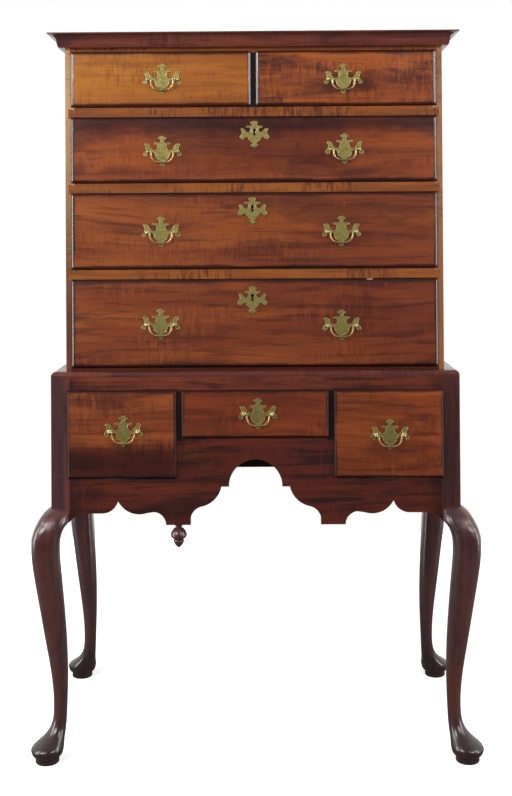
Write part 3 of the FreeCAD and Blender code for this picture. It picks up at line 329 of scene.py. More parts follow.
def wood(name, tones, along="x", streaks=0.5, smoke=0.2, curl=0.3, shift=0.0, coat=0.8,
         gloss=0.12, index=VARNISH_INDEX, effects=(), cover=None):
    """A wood: its light, middle and dark tone, its grain's direction, its film, its effects."""
    material, tree, shader, coordinates = new_material(name)
    place = add(tree, "ShaderNodeMapping",
                {"Vector": coordinates, "Rotation": TURNS[along],
                 "Location": (shift, shift * 0.7, shift * 1.3)})
    grain = tree.nodes.new("ShaderNodeGroup")
    grain.node_tree = GRAIN
    light, middle, dark = (colour(code) for code in tones.split())
    values = {"Place": place, "Light": light, "Middle": middle, "Dark": dark,
              "Streaks": streaks, "Smoke": smoke, "Curl": curl}
    for key, value in values.items():
        plug(tree, grain.inputs[key], value)
    shade = grain.outputs["Colour"]
    for effect in effects:
        shade = effect(tree, coordinates, shade)
    plug(tree, shader.inputs["Base Color"], shade)
    shader.inputs["Roughness"].default_value = DRY_ROUGHNESS
    shader.inputs["Specular IOR Level"].default_value = FIBRE_SHINE
    plug(tree, shader.inputs["Normal"],
         add(tree, "ShaderNodeBump",
             {"Height": grain.outputs["Height"], "Distance": 0.2 * MM,
              "Strength": FILLED_RELIEF if coat else OPEN_RELIEF}))
    if coat:
        shader.inputs["Coat Weight"].default_value = coat
        if cover:
            plug(tree, shader.inputs["Coat Weight"], cover(tree, coordinates, coat))
        shader.inputs["Coat IOR"].default_value = index
        level = marks(tree, coordinates, 26, 26, 0.2, 0.8, detail=0)
        plug(tree, shader.inputs["Coat Normal"],
             add(tree, "ShaderNodeBump", {"Height": level, "Distance": MM, "Strength": 0.2}))
        worn = marks(tree, coordinates, 140, 140, 0.3, 0.7, 0.10)
        plug(tree, shader.inputs["Coat Roughness"],
             add(tree, "ShaderNodeMath", {0: worn, 1: gloss}, operation="ADD"))
    return material


for film in (VARNISH_INDEX, POLISH_INDEX):
    print("a film of index %.1f mirrors %.1f percent of light that meets it straight"
          % (film, ((film - 1) / (film + 1)) ** 2 * 100))

# %% [markdown]
# ## The drawer fronts
#
# The fronts are of one kind of tree, but each board has its own streaks and clouds, so each
# has its own material with its own shift through the grain.  The small left one has faded
# to amber; the lower left one is scorched along its bottom.  Their meshes stay those of the
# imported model, whose lips are already round.

# %% The fronts' tones
FRONTS = {
    # drawer: tones, streaks, smoke, curl, shift, tones of its left and its right end; a darker end
    # is partly the board's own tone and partly painted shade
    "small_drawer_left": ("#bb7823 #a8651d #7e3d14", 0.40, 0.30, 0.50, 0.31, "#ffffff #e2d0eb"),
    "small_drawer_right": ("#a9571c #904518 #40130c", 0.45, 0.85, 0.60, 1.73, "#f9f9ff #f4ecec"),
    "high_drawer": ("#974a19 #7e3815 #42160e", 0.50, 0.55, 0.30, 2.47, "#ffffff #f4ecec"),
    "middle_drawer": ("#954d1c #7c3817 #46190e", 0.60, 0.50, 0.35, 3.91, "#ffffff #e8d8da"),
    "low_drawer": ("#944c1d #7a3717 #45170e", 0.65, 0.50, 0.35, 5.13, "#ffffff #e2cecf"),
    "lower_drawer_left": ("#974e20 #7d3b19 #451811", 0.50, 0.60, 0.50, 6.29, "#ffffff #f8f0ee"),
    "lower_drawer_centre": ("#883e16 #733013 #46160d", 0.50, 0.40, 0.30, 7.57, "#ffffff #ffffff"),
    "lower_drawer_right": ("#9a4a1a #7e3714 #46180c", 0.60, 0.50, 0.35, 8.83, "#dddded #ffffff"),
}
for name in FRONTS:
    low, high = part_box(name + "_front")
    print("%s %.0f by %.0f mm" % (name, (high[0] - low[0]) / MM, (high[2] - low[2]) / MM))


# %% The marks of each front
def tier(name):
    """The case that a drawer is in."""
    return "lower" if name.startswith("lower") else "upper"


def own_marks(name, low, high):
    """The marks that only one board has."""
    if name == "lower_drawer_left":
        scorch_top = (low[2] + high[2]) / 2 - 25 * MM
        return [stain_and_shade(low, (high[0], high[1], scorch_top), "#8a6562", 35 * MM)]
    if name == "high_drawer":
        return [stain_and_shade((low[0], low[1], high[2] - 8 * MM), high, "#a88886", 25 * MM),
                stain_and_shade((-0.14, low[1], high[2] - 70 * MM), (0.22, high[1], high[2]), "#c8b4b0",
                      60 * MM)]
    if name == "low_drawer":
        chip = (low[0] + (high[0] - low[0]) * 0.808, low[1], high[2] - 2.5 * MM)
        return [stain_and_shade(chip, (chip[0] + 12 * MM, high[1], high[2]), "#a87c50", 1.5 * MM, "MIX")]
    return []


def front_effects(name, left, right):
    """Grime and painted shade at the lips of a drawer front, its paler or darker ends, which are
    partly painted shade, and its own marks.
    """
    low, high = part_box(name + "_front")
    return [edge_grime_and_shade(low, high, GRIME_AND_SHADE[tier(name)], "#5c3a42"),
            fade("X", high[0], low[0], left), fade("X", low[0], high[0], right),
            *own_marks(name, low, high)]


print([name for name in FRONTS if own_marks(name, *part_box(name + "_front"))], "have own marks")


# %% Dress the fronts
def dress(name, material):
    """Give a CAD node a material; its mesh stays as it is."""
    mesh = nodes[name].data
    mesh.materials.clear()
    mesh.materials.append(material)


FILM = {"upper": (POLISH_INDEX, "Z"), "lower": (VARNISH_INDEX, "XZ")}
for name, (tones, streaks, smoke, curl, shift, end_tones) in FRONTS.items():
    index, waxed = FILM[tier(name)]
    cover = waxy_edges(*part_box(name + "_front"), WAX, waxed)
    effects = front_effects(name, *end_tones.split())
    dress(name + "_front", wood("varnished_cherry_" + name, tones, "x", streaks, smoke, curl,
                                shift, index=index, effects=effects, cover=cover))
print(len(FRONTS), "drawer fronts dressed")

# %% [markdown]
# ## The woods of the case
#
# The stiles of the upper case are pale tan, more at the top and most on the left: partly wood
# bleached by the sun, partly painted light from the main light high on the left.  The blades
# between the drawers are curly maple, so their ticks are strong.  The lower case and the legs
# lie under many dark coats.  Boxes, runners and backs are of pine without any varnish: brown
# with age where air reaches them, and stained dark at their front edges, which also paints the
# shade under the drawers' lips.  The inner face of the back has painted shade.

# %% Where the case's marks lie
waist_low, waist_top = (corner[2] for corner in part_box("waist_moulding"))
case_top = case_high[2]
divider_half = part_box("small_drawer_right_box")[0][0]
small_low, small_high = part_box("small_drawer_right_front")
centre_low, centre_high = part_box("lower_drawer_centre_front")
back_low, back_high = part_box("lower_back_board")
post_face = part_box("lower_end_board_right")[1][0]
post_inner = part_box("lower_drawer_right_front")[1][0] - 5 * MM
gap_middle = (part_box("lower_drawer_right_front")[0][0] + centre_high[0]) / 2
print("waist at %.3f m, top at %.3f m, posts from %.3f to %.3f m off the middle"
      % (waist_top, case_top, post_inner, post_face))

# %% Stains, fades and painted shade of the case
# painted shade: the upright between the small drawers is made nearly black, as the deep slot
# between their lips lies in shadow
painted_gap_shade = stain_and_shade((-divider_half, case_front - MM, small_low[2]),
                  (divider_half, case_front + 30 * MM, small_high[2] - 4 * MM), "#2c1a1c")
# painted shade: so are the gaps beside the centre drawer below, in the shadow of the drawers
gap_shades = [stain_and_shade((side - 6 * MM, case_front - 60 * MM, centre_low[2]),
              (side + 6 * MM, case_front, centre_high[2] - 4 * MM), "#54444a", 6 * MM)
        for side in (gap_middle, -gap_middle)]
# bare pine is stained where it meets a front, which also paints the shade under the drawers' lips;
# the inner face of the back gets painted shade, as it is dark inside the case
front_stain_and_shade = fade("Y", case_front + 14 * MM, case_front + 6 * MM, "#6e3a22")
inner_shade = fade("Y", back_high[1] - 3 * MM, back_high[1] - 6 * MM, "#3c2822")
# the skirt is darker low down and at its ends, and the right of its rail has painted shade, away
# from the main light on the left
skirt_fades_and_shade = [fade("Z", waist_low - 36 * MM, waist_low - 120 * MM, "#ccb6ba"),
               fade("X", 0.395, 0.45, "#b8a2ae"), fade("X", -0.395, -0.45, "#b8a2ae"),
               stain_and_shade((0.24, case_front - 40 * MM, waist_low - 40 * MM),
                     (post_face, case_front, waist_low), "#d4ced2", 60 * MM)]
# legs are cooler below the knee and at the foot, and the right post has painted shade, away from
# the main light on the left
leg_fades_and_shade = [fade("Z", waist_low - 0.31, waist_low - 0.37, "#c4bcc0"),
             fade("Z", 0.13, 0.05, "#a4b4b6"),
             stain_and_shade((post_inner - 10 * MM, -post_face, waist_low - 0.30),
                   (post_face, -0.2, waist_low), "#d2c0ae", 20 * MM)]


def stile_fades_and_light(low_tone, side_tone):
    """A stile is paler at its front edge, and at the top partly bleached and partly painted light;
    the side behind it is not.
    """
    return [fade("Z", case_top - 0.1, waist_top + 0.1, low_tone),
            fade("Y", case_front + 1 * MM, case_front + 7 * MM, side_tone)]


print(len([painted_gap_shade, front_stain_and_shade, inner_shade, *gap_shades, *skirt_fades_and_shade, *leg_fades_and_shade]),
      "stains and fades on the case")

# %% The case's woods
# maple under thin varnish, pale and striped, with a soft shine: partly sun-bleached, and partly
# painted light, the left stile a paler lit copy and the right one a darker shaded copy
stile_left = wood("bleached_and_lit_maple_upright", "#caa576 #b99162 #8c5e39", "z", 0.4, 0.2, 0.5, 0.4,
                  effects=stile_fades_and_light("#916e72", "#a46e4e"))
stile_right = wood("tan_and_shaded_maple_upright", "#b07a50 #a06e48 #6c4434", "z", 0.4, 0.3, 0.5, 1.4,
                   effects=stile_fades_and_light("#ece0da", "#c9a083"))
# curly maple: short dark ticks across a warm tan
blades = wood("curly_maple_blades", "#965320 #81431b #4e2011", "x", 0.35, 0.25, 0.90, 2.2,
              effects=[painted_gap_shade])
# cherry under old shellac: brown-red, with streaks along the board
ends = wood("varnished_cherry_ends", "#643526 #532b22 #3a1c1a", "z", 0.45, 0.3, 0.25, 1.1,
            coat=0.5)
skirt = wood("varnished_cherry_skirt", "#78361d #662b19 #301210", "x", 0.9, 0.75, 0.20, 4.4,
             effects=skirt_fades_and_shade + gap_shades)
# the same under many coats: nearly black, with a wide shine on the knees
legs = wood("dark_varnished_cherry", "#6a342a #43252b #2a1a20", "z", 0.6, 0.4, 0.2, 3.3,
            coat=0.9, gloss=0.18, effects=leg_fades_and_shade)
mouldings = wood("dark_cherry_moulding", "#6e3424 #5a251e #301416", "x", 0.5, 0.7, 0.5, 6.1,
                 coat=0.7, gloss=0.10)
# sawn pine, never varnished: dull, yellow inside and brown at the back
pine = wood("bare_pine", "#c49c68 #b08650 #80592f", "x", 0.4, 0.1, 0.1, 1.9, coat=0.0,
            effects=[front_stain_and_shade])
pine_deep = wood("bare_pine_runners", "#bc955f #a47c48 #76512b", "y", 0.4, 0.1, 0.1, 4.9,
                 coat=0.0)
pine_aged = wood("aged_pine_back", "#96693d #7e5731 #583a1f", "x", 0.35, 0.15, 0.0, 7.9,
                 coat=0.0, effects=[inner_shade])
pine_lower = wood("aged_pine_lower_back", "#8a5f3c #704a2d #4a2e1b", "x", 0.45, 0.2, 0.0, 9.7,
                  coat=0.0, effects=[inner_shade])
print(len(bpy.data.materials), "materials so far")

# %% [markdown]
# ## Arrises worn round
#
# No plane leaves a perfectly sharp edge, and two centuries of dusting wear it further.  Each
# piece of woodwork gets a copy of its mesh with the outward edges rounded by half a
# millimetre or so, which is enough to catch a line of light.  Inward corners stay sharp, as
# they do in wood.  The bevel is clamped, so on one mesh it is everywhere as narrow as its
# tightest spot allows: boards get all of their width and the skirt a third of it, while the
# mouldings, the blades and the posts above the legs keep edges that are all but sharp.
#
# A new piece has its place in its mesh and stands at the origin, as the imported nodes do.  Its
# flat faces are shaded flat and its curved ones smooth.  A face counts as curved where it
# meets a neighbour at a small angle: a larger one is an edge.

# %% Making and placing pieces
FLAT_TURN = math.radians(0.3)
EDGE_TURN = math.radians(21)


def body_of(name):
    """The body that a CAD node belongs to."""
    return next(body for body, names in bodies.items() if name in names)


def new_piece(title, work, materials, flat_above=math.inf):
    """An object at the origin from a bmesh, shaded flat or smooth face by face."""
    smooth = []
    for face in work.faces:
        angles = [e.calc_face_angle(0) for e in face.edges if len(e.link_faces) == 2]
        curved = any(FLAT_TURN < angle < EDGE_TURN for angle in angles)
        smooth.append(curved and len(face.verts) <= 8 and face.calc_area() < flat_above)
    mesh = bpy.data.meshes.new(title)
    work.to_mesh(mesh)
    work.free()
    mesh.set_sharp_from_angle(angle=EDGE_TURN)
    mesh.polygons.foreach_set("use_smooth", smooth)
    for material in materials:
        mesh.materials.append(material)
    piece = bpy.data.objects.new(title, mesh)
    bpy.context.scene.collection.objects.link(piece)
    return piece


def stand_in(title, work, materials, name, flat_above=math.inf):
    """A new piece that takes a CAD node's place and moves with its body."""
    piece = new_piece(title, work, materials, flat_above)
    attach(piece, body_of(name))
    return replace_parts(piece, name)


print("the left front leg rides on", body_of("leg_front_left"))

# %% [markdown]
# The mesh comes as loose triangles, so the copy is merged first, and flat faces are joined
# before their edges are bevelled.  On the brow of each knee two curved surfaces meet in a
# ridge.  A carver's rasp and scraper leave none, so there each point is moved towards the
# middle of its neighbours, ten times over.

# %% Merging and softening
TOUCHING = 1e-6
ARRIS_TURN = math.radians(30)
# faces that meet at more than this are corners, and the heights between which a knee is eased
RIDGE_TURN, BROW = math.radians(50), (0.538, 0.594)
# a face of a board that is larger than this, in square metres, is one of its planes
BOARD_FACE = 1e-4


def rub_round(work, low, high, rounds=10):
    """Ease the ridge between two heights, but not the corners of the post above it."""
    eased = [vert for vert in work.verts if low < vert.co.z < high
             and all(edge.calc_face_angle(0) < RIDGE_TURN for edge in vert.link_edges)]
    for _ in range(rounds):
        bmesh.ops.smooth_vert(work, verts=eased, factor=0.5, use_axis_x=True, use_axis_y=True,
                              use_axis_z=True)


def merged_copy(name):
    """A CAD node's mesh with its loose triangles joined into flat faces."""
    work = bmesh.new()
    work.from_mesh(nodes[name].data)
    bmesh.ops.remove_doubles(work, verts=work.verts, dist=TOUCHING)
    if name.startswith("leg_"):
        rub_round(work, *BROW)
    bmesh.ops.dissolve_limit(work, angle_limit=FLAT_TURN, verts=work.verts, edges=work.edges)
    return work


def soften(name, material, width):
    """Stand a copy with rounded arrises in for a CAD node."""
    work = merged_copy(name)
    sharp = [edge for edge in work.edges
             if edge.is_manifold and edge.is_convex and edge.calc_face_angle(0) > ARRIS_TURN]
    bmesh.ops.bevel(work, geom=sharp, offset=width, segments=2, profile=0.5, affect="EDGES",
                    clamp_overlap=True)
    flat_above = math.inf if material in (legs, mouldings) else BOARD_FACE
    return stand_in(name + "_soft", work, [material], name, flat_above)


sample = merged_copy("upper_side_right")
print("a side's mesh:", len(nodes["upper_side_right"].data.polygons), "triangles, merged to",
      len(sample.faces), "faces")
sample.free()

# %% Soft copies of the woodwork
WOODWORK = {
    # node: its wood, the record's slot, and how far its arrises may be worn round in mm
    "upper_side_right": (stile_right, "case_wood", 0.8),
    "upper_side_left": (stile_left, "case_wood", 0.8),
    "upper_blades_and_divider": (blades, "case_wood", 0.5),
    "upper_top_and_bottom_boards": (pine, "secondary_wood", 0.5),
    "upper_back_boards": (pine_aged, "secondary_wood", 1.0),
    "upper_drawer_runners": (pine_deep, "secondary_wood", 0.6),
    "cornice_moulding": (mouldings, "dark_wood", 0.6),
    "waist_moulding": (mouldings, "dark_wood", 0.6),
    "front_apron": (skirt, "case_wood", 0.8),
    "lower_front_rail_and_dividers": (skirt, "case_wood", 0.5),
    "lower_end_board_right": (ends, "case_wood", 0.6),
    "lower_end_board_left": (ends, "case_wood", 0.6),
    "lower_back_board": (pine_lower, "secondary_wood", 0.8),
    "lower_runners_and_dust_board": (pine_deep, "secondary_wood", 0.6),
    "leg_front_right": (legs, "dark_wood", 0.8),
    "leg_front_left": (legs, "dark_wood", 0.8),
    "leg_rear_right": (legs, "dark_wood", 0.8),
    "leg_rear_left": (legs, "dark_wood", 0.8),
}
for name, (material, slot, width) in WOODWORK.items():
    soften(name, material, width * MM)
for name in FRONTS:
    soften(name + "_box", pine_deep, 0.3 * MM)
dress("drop_finial", legs)
print(len(WOODWORK) + len(FRONTS), "pieces of woodwork softened")

# %% [markdown]
# ## Metals
#
# The pulls are cast brass that was once gilt with lacquer.  In the field of a plate it has
# gone dull and olive; rims and bails, which hands rub, are lighter and smoother.  The
# locks and nails are forged iron, dark with a little rust.  Tarnish starts in specks, drawn
# here some millimetres wide, or they wouldn't show.


# %% Metal materials
def metal(name, tones, roughness):
    """An old metal: a bright and a dull tone in clouds, and specks of tarnish."""
    material, tree, shader, place = new_material(name)
    bright, dull, tarnish = (colour(code) for code in tones.split())
    clouds = marks(tree, place, 9, 9, 0.38, 0.64)
    specks = marks(tree, place, 1.6, 1.6, 0.50, 0.66, 0.75)
    shade = add(tree, "ShaderNodeMix", {0: clouds, 6: bright, 7: dull}, data_type="RGBA")
    shade = add(tree, "ShaderNodeMix", {0: specks, 6: shade, 7: tarnish}, data_type="RGBA")
    plug(tree, shader.inputs["Base Color"], shade)
    plug(tree, shader.inputs["Roughness"],
         add(tree, "ShaderNodeMath", {0: clouds, 1: 0.2, 2: roughness}, operation="MULTIPLY_ADD"))
    plug(tree, shader.inputs["Normal"],
         add(tree, "ShaderNodeBump", {"Height": specks, "Distance": 0.2 * MM, "Strength": 0.4}))
    shader.inputs["Metallic"].default_value = 1.0
    return material


field_brass = metal("dull_brass_field", "#b8aa68 #92884e #5a5632", 0.42)
rim_brass = metal("rubbed_brass_rim", "#cdb882 #a39260 #665e3c", 0.30)
iron = metal("forged_iron", "#4a4744 #353230 #4f3a2c", 0.5)
print("metals:", field_brass.name, rim_brass.name, iron.name)

# %% [markdown]
# ## The cast plates
#
# A plate's outline is sawn and filed, and a bead runs round its rim.  The plates and their
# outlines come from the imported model.  First its brasses are taken apart: the plates are the
# pieces that are thinner than two millimetres.


# %% Taking the brasses apart
def loose_parts(work):
    """The separate pieces of a bmesh, each as a bmesh of its own."""
    work.verts.index_update()
    found, parts = set(), []
    for start in work.verts:
        if start.index in found:
            continue
        group = edge = {start}
        while edge:
            edge = {link.other_vert(vert) for vert in edge for link in vert.link_edges} - group
            group = group | edge
        kept = {vert.index for vert in group}
        found |= kept
        part = work.copy()
        spare = [vert for vert in part.verts if vert.index not in kept]
        bmesh.ops.delete(part, geom=spare, context="VERTS")
        parts.append(part)
    return parts


def joined(parts):
    """Several bmeshes as one."""
    whole = bmesh.new()
    for part in parts:
        spare = bpy.data.meshes.new("spare")
        part.to_mesh(spare)
        part.free()
        whole.from_mesh(spare)
        bpy.data.meshes.remove(spare)
    return whole


def extent(points, axis):
    """How far points reach along an axis."""
    values = [point[axis] for point in points]
    return max(values) - min(values)


def plates_of(name):
    """The thin pieces among a drawer's brasses."""
    parts = loose_parts(merged_copy(name + "_brasses"))
    return [part for part in parts if extent([vert.co for vert in part.verts], 1) < 2 * MM]


plates = plates_of("high_drawer")
print("the high drawer has", len(plates), "plates")

# %% [markdown]
# The edge of a plate's front face is followed point by point, with the plate always on the
# left, so each point can be moved inwards by the same amount.


# %% Outlines
def rim_loops(part):
    """The closed outlines of a plate's front, each as points with the plate on their left."""
    following = {}
    for face in part.faces:
        if face.normal.y < -0.9:
            for corner in face.loops:
                other = corner.link_loop_radial_next.face
                if other.normal.y > -0.9:
                    following[corner.vert] = corner.link_loop_next.vert
    loops = []
    while following:
        start, vert = following.popitem()
        loop = [start.co.copy()]
        while vert in following:
            loop.append(vert.co.copy())
            vert = following.pop(vert)
        loops.append(loop)
    return loops


def inset(loop, distance):
    """The points of an outline, moved towards the plate."""
    points = []
    for before, point, after in zip(loop[-1:] + loop[:-1], loop, loop[1:] + loop[:1]):
        way = ((point - before).normalized() + (after - point).normalized()).normalized()
        points.append(point + Vector((0, -1, 0)).cross(way) * distance)
    return points


print("points of the first plate's outlines:", [len(loop) for loop in rim_loops(plates[0])])

# %% [markdown]
# A bead follows a path, which is work for Geometry Nodes: the outline becomes a curve, and a
# circle is swept along it.  Every tree here starts from a mesh and named inputs, and ends by
# making copies real and giving them their finish.


# %% A tree for beads
def new_tree(name, inputs):
    """An empty tree: itself and what it is given, a geometry and its named inputs."""
    tree = bpy.data.node_groups.new(name, "GeometryNodeTree")
    for title, kind in (("Geometry", "Geometry"), *inputs):
        tree.interface.new_socket(title, in_out="INPUT", socket_type="NodeSocket" + kind)
    tree.interface.new_socket("Geometry", in_out="OUTPUT", socket_type="NodeSocketGeometry")
    return tree, tree.nodes.new("NodeGroupInput").outputs


def end_tree(tree, geometry, finish):
    """Make copies real, give them their finish and hand them out."""
    real = add(tree, "GeometryNodeRealizeInstances", {0: geometry})
    finished = add(tree, "GeometryNodeSetMaterial", {"Geometry": real, "Material": finish})
    plug(tree, tree.nodes.new("NodeGroupOutput").inputs[0], finished)
    return tree


def bead_tree():
    """A round bead swept along every closed outline of a mesh."""
    tree, given = new_tree("Bead on an outline",
                           (("Radius", "Float"), ("Sides", "Int"), ("Finish", "Material")))
    path = add(tree, "GeometryNodeMeshToCurve", {"Mesh": given["Geometry"]})
    circle = add(tree, "GeometryNodeCurvePrimitiveCircle",
                 {"Resolution": given["Sides"], "Radius": given["Radius"]})
    swept = add(tree, "GeometryNodeCurveToMesh", {"Curve": path, "Profile Curve": circle})
    return end_tree(tree, swept, given["Finish"])


BEADS = bead_tree()
print("bead tree:", len(BEADS.nodes), "nodes")

# %% [markdown]
# The export keeps real meshes only, so what a tree makes is turned into a plain mesh, and the
# tree is taken off again.  A bead is a millimetre thick and stands half out of its plate.


# %% The plates and their beads
def grow(title, points, edges, tree, values, body):
    """What a tree makes of points and edges, as one plain mesh that moves with a body."""
    mesh = bpy.data.meshes.new(title)
    mesh.from_pydata([tuple(point) for point in points], edges, [])
    piece = bpy.data.objects.new(title, mesh)
    bpy.context.scene.collection.objects.link(piece)
    modifier = piece.modifiers.new("grow", "NODES")
    modifier.node_group = tree
    for socket in tree.interface.items_tree:
        if socket.in_out == "INPUT" and socket.name in values:
            modifier[socket.identifier] = values[socket.name]
    graph = bpy.context.evaluated_depsgraph_get()
    made = bpy.data.meshes.new_from_object(piece.evaluated_get(graph))
    piece.modifiers.clear()
    piece.data = made
    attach(piece, body)


BEAD_RADIUS, BEAD_SIDES = 0.55 * MM, 8
SMALLEST_RIM = 7 * MM
for name in FRONTS:
    plates = plates_of(name)
    loops = [loop for plate in plates for loop in rim_loops(plate)
             if extent(loop, 2) > SMALLEST_RIM]
    stand_in(name + "_plates", joined(plates), [field_brass], name + "_brasses")
    points, edges = [], []
    for loop in loops:
        first, count = len(points), len(loop)
        points += inset(loop, BEAD_RADIUS)
        edges += [(first + step, first + (step + 1) % count) for step in range(count)]
    grow(name + "_beads", points, edges, BEADS,
         {"Radius": BEAD_RADIUS, "Sides": BEAD_SIDES, "Finish": rim_brass},
         body_of(name + "_front"))
    print(name, len(loops), "beads")

# %% [markdown]
# ## Posts and bails
#
# A post is turned on a lathe, so it is a profile spun about an axis: a collar on the plate,
# a waisted neck, and a head that holds the bail.  In the mesh it is a row of rings, with a
# skin of faces from one to the next.


# %% A turned post
def ring(work, centre, across, up, radius, count):
    """A circle of vertices in the plane of two unit vectors."""
    turns = [math.tau * step / count for step in range(count)]
    return [work.verts.new(centre + (across * math.cos(a) + up * math.sin(a)) * radius)
            for a in turns]


def skin(work, rings):
    """Faces between one ring and the next, and a cap at each end."""
    for one, other in zip(rings, rings[1:]):
        for step in range(len(one)):
            after = (step + 1) % len(one)
            work.faces.new((one[step], one[after], other[after], other[step]))
    work.faces.new(rings[0][::-1])
    work.faces.new(rings[-1])
    bmesh.ops.recalc_face_normals(work, faces=work.faces)


POST_PROFILE = (
    # depth from the drawer's face, in front of it where below 0, and radius, in mm
    (-13.7, 0.3), (-13.4, 1.6), (-12.5, 3.0), (-11.1, 3.9), (-9.5, 4.2), (-8.0, 3.9),
    (-6.9, 3.1), (-6.3, 2.5), (-5.9, 2.9), (-5.4, 2.9), (-5.1, 2.5), (-3.9, 2.6), (-3.4, 3.3),
    (-3.0, 4.6), (-2.6, 5.3), (-1.9, 5.5), (-1.2, 5.3), (-1.2, 2.4), (30.5, 2.4), (31.0, 1.9),
)


def turned(profile, count=20):
    """A piece turned about the Y axis, from pairs of depth and radius in mm."""
    work = bmesh.new()
    rings = [ring(work, Vector((0, depth * MM, 0)), Vector((1, 0, 0)), Vector((0, 0, 1)),
                  radius * MM, count) for depth, radius in profile]
    skin(work, rings)
    return work


post_depths = [depth for depth, _ in POST_PROFILE]
print("a post is", max(post_depths) - min(post_depths), "mm long")

# %% [markdown]
# A bail is cast, thicker at its grip, so it is a row of rings along a bent path, whose
# radius changes as it goes: a flat grip, two round corners, and two arms up to the hinge.
# Its two pintles turn in the heads of the posts.

# %% A cast bail
KNUCKLE = 2.25 * MM
BAIL_ARM = 26.7 * MM
BAIL_DROP = 25 * MM
BAIL_CORNER = 18 * MM
BAIL_ROD, GRIP_SWELL = 1.75 * MM, 0.5 * MM
PINTLE, PINTLE_LENGTH = 1.4 * MM, 5.8 * MM
CORNER_STEPS, STRAIGHT_STEPS = 8, 4


def bail_path():
    """Places and directions along a bail from its left knuckle to its right one."""
    flat = BAIL_ARM - BAIL_CORNER
    path = [(Vector((flat * step / STRAIGHT_STEPS, 0, -BAIL_DROP)), Vector((1, 0, 0)))
            for step in range(STRAIGHT_STEPS + 1)]
    for step in range(1, CORNER_STEPS + 1):
        a = math.pi / 2 * step / CORNER_STEPS
        place = (flat + BAIL_CORNER * math.sin(a), 0, -BAIL_DROP + BAIL_CORNER * (1 - math.cos(a)))
        path.append((Vector(place), Vector((math.cos(a), 0, math.sin(a)))))
    for step in range(1, STRAIGHT_STEPS + 1):
        height = (BAIL_CORNER - BAIL_DROP) * (1 - step / STRAIGHT_STEPS)
        path.append((Vector((BAIL_ARM, 0, height)), Vector((0, 0, 1))))
    left = [(Vector((-place.x, 0, place.z)), Vector((way.x, 0, -way.z)))
            for place, way in path[:0:-1]]
    return left + path


def bail():
    """A bail that swells at its grip, with a knuckle and a pintle at each end."""
    work = bmesh.new()
    rings = []
    for place, way in bail_path():
        swell = max(0.0, 1 - abs(place.x) / (BAIL_ARM * 0.75)) ** 0.8
        across = Vector((0, 1, 0))
        rings.append(ring(work, place, across, way.cross(across),
                          BAIL_ROD + GRIP_SWELL * swell, 14))
    skin(work, rings)
    for side in (-1, 1):
        end = Matrix.Translation((BAIL_ARM * side, 0, 0))
        bmesh.ops.create_uvsphere(work, u_segments=16, v_segments=10, radius=KNUCKLE, matrix=end)
        pintle = Matrix.Translation(((BAIL_ARM + PINTLE_LENGTH / 2) * side, 0, 0))
        bmesh.ops.create_cone(work, segments=14, radius1=PINTLE, radius2=PINTLE,
                              depth=PINTLE_LENGTH, cap_ends=True,
                              matrix=pintle @ Matrix.Rotation(math.pi / 2, 4, "Y"))
    return work


print("a bail is", len(bail_path()), "rings")


# %% The bails
def pulls(name):
    """The middle of the hinge line of every bail on a drawer, and the bail's node."""
    found = []
    for node_name in sorted(nodes):
        if node_name.startswith(name + "_bail"):
            low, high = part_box(node_name)
            middle = ((low[0] + high[0]) / 2, (low[1] + high[1]) / 2, high[2] - KNUCKLE)
            found.append((Vector(middle), node_name))
    return found


for name in FRONTS:
    for hinge, node_name in pulls(name):
        work = bail()
        bmesh.ops.translate(work, vec=hinge, verts=work.verts)
        stand_in(node_name + "_cast", work, [rim_brass], node_name)
    print(name, len(pulls(name)), "bails")

# %% [markdown]
# ## Small repeats
#
# Posts, nuts, pegs, nails and screws are many copies of a few pieces.  One more tree puts a
# piece on every point of a cloud and turns each by a chance angle about its own axis.


# %% The tree
def repeat_tree():
    """Copies of a piece on points, with a chance turn about one axis."""
    tree, given = new_tree("Pieces on points",
                           (("Piece", "Object"), ("Finish", "Material"), ("Axis", "Vector"),
                            ("Turn", "Float"), ("Seed", "Int")))
    info = tree.nodes.new("GeometryNodeObjectInfo")
    plug(tree, info.inputs["Object"], given["Piece"])
    chance = add(tree, "FunctionNodeRandomValue", {3: given["Turn"], 8: given["Seed"]})
    turn = add(tree, "ShaderNodeVectorMath", {0: given["Axis"], "Scale": chance},
               operation="SCALE")
    copies = add(tree, "GeometryNodeInstanceOnPoints",
                 {"Points": given["Geometry"], "Instance": info.outputs["Geometry"],
                  "Rotation": turn})
    return end_tree(tree, copies, given["Finish"])


REPEAT = repeat_tree()
print("repeat tree:", len(REPEAT.nodes), "nodes")


def repeat(title, source, finish, points, body, axis=(0, 1, 0), turn=math.tau, seed=1):
    """Copies of a piece at several points, as one object that moves with a body."""
    grow(title, points, [], REPEAT, {"Piece": source, "Finish": finish, "Axis": axis,
                                     "Turn": turn, "Seed": seed}, body)
    print(title, len(points), "copies")


# %% Posts and nuts
POST_SPACING = 67 * MM
NUT_WIDTH, NUT_DEPTH = 11 * MM, 4 * MM
patterns = []


def pattern(title, work):
    """A piece kept only as the source of its copies."""
    patterns.append(new_piece(title, work, []))
    return patterns[-1]


def square_nut():
    """A square nut, filed by hand, with soft corners."""
    work = bmesh.new()
    bmesh.ops.create_cube(work, size=1)
    bmesh.ops.scale(work, vec=(NUT_WIDTH, NUT_DEPTH, NUT_WIDTH), verts=work.verts)
    bmesh.ops.translate(work, vec=(0, NUT_DEPTH / 2, 0), verts=work.verts)
    bmesh.ops.bevel(work, geom=work.edges, offset=0.8 * MM, segments=2, affect="EDGES")
    return work


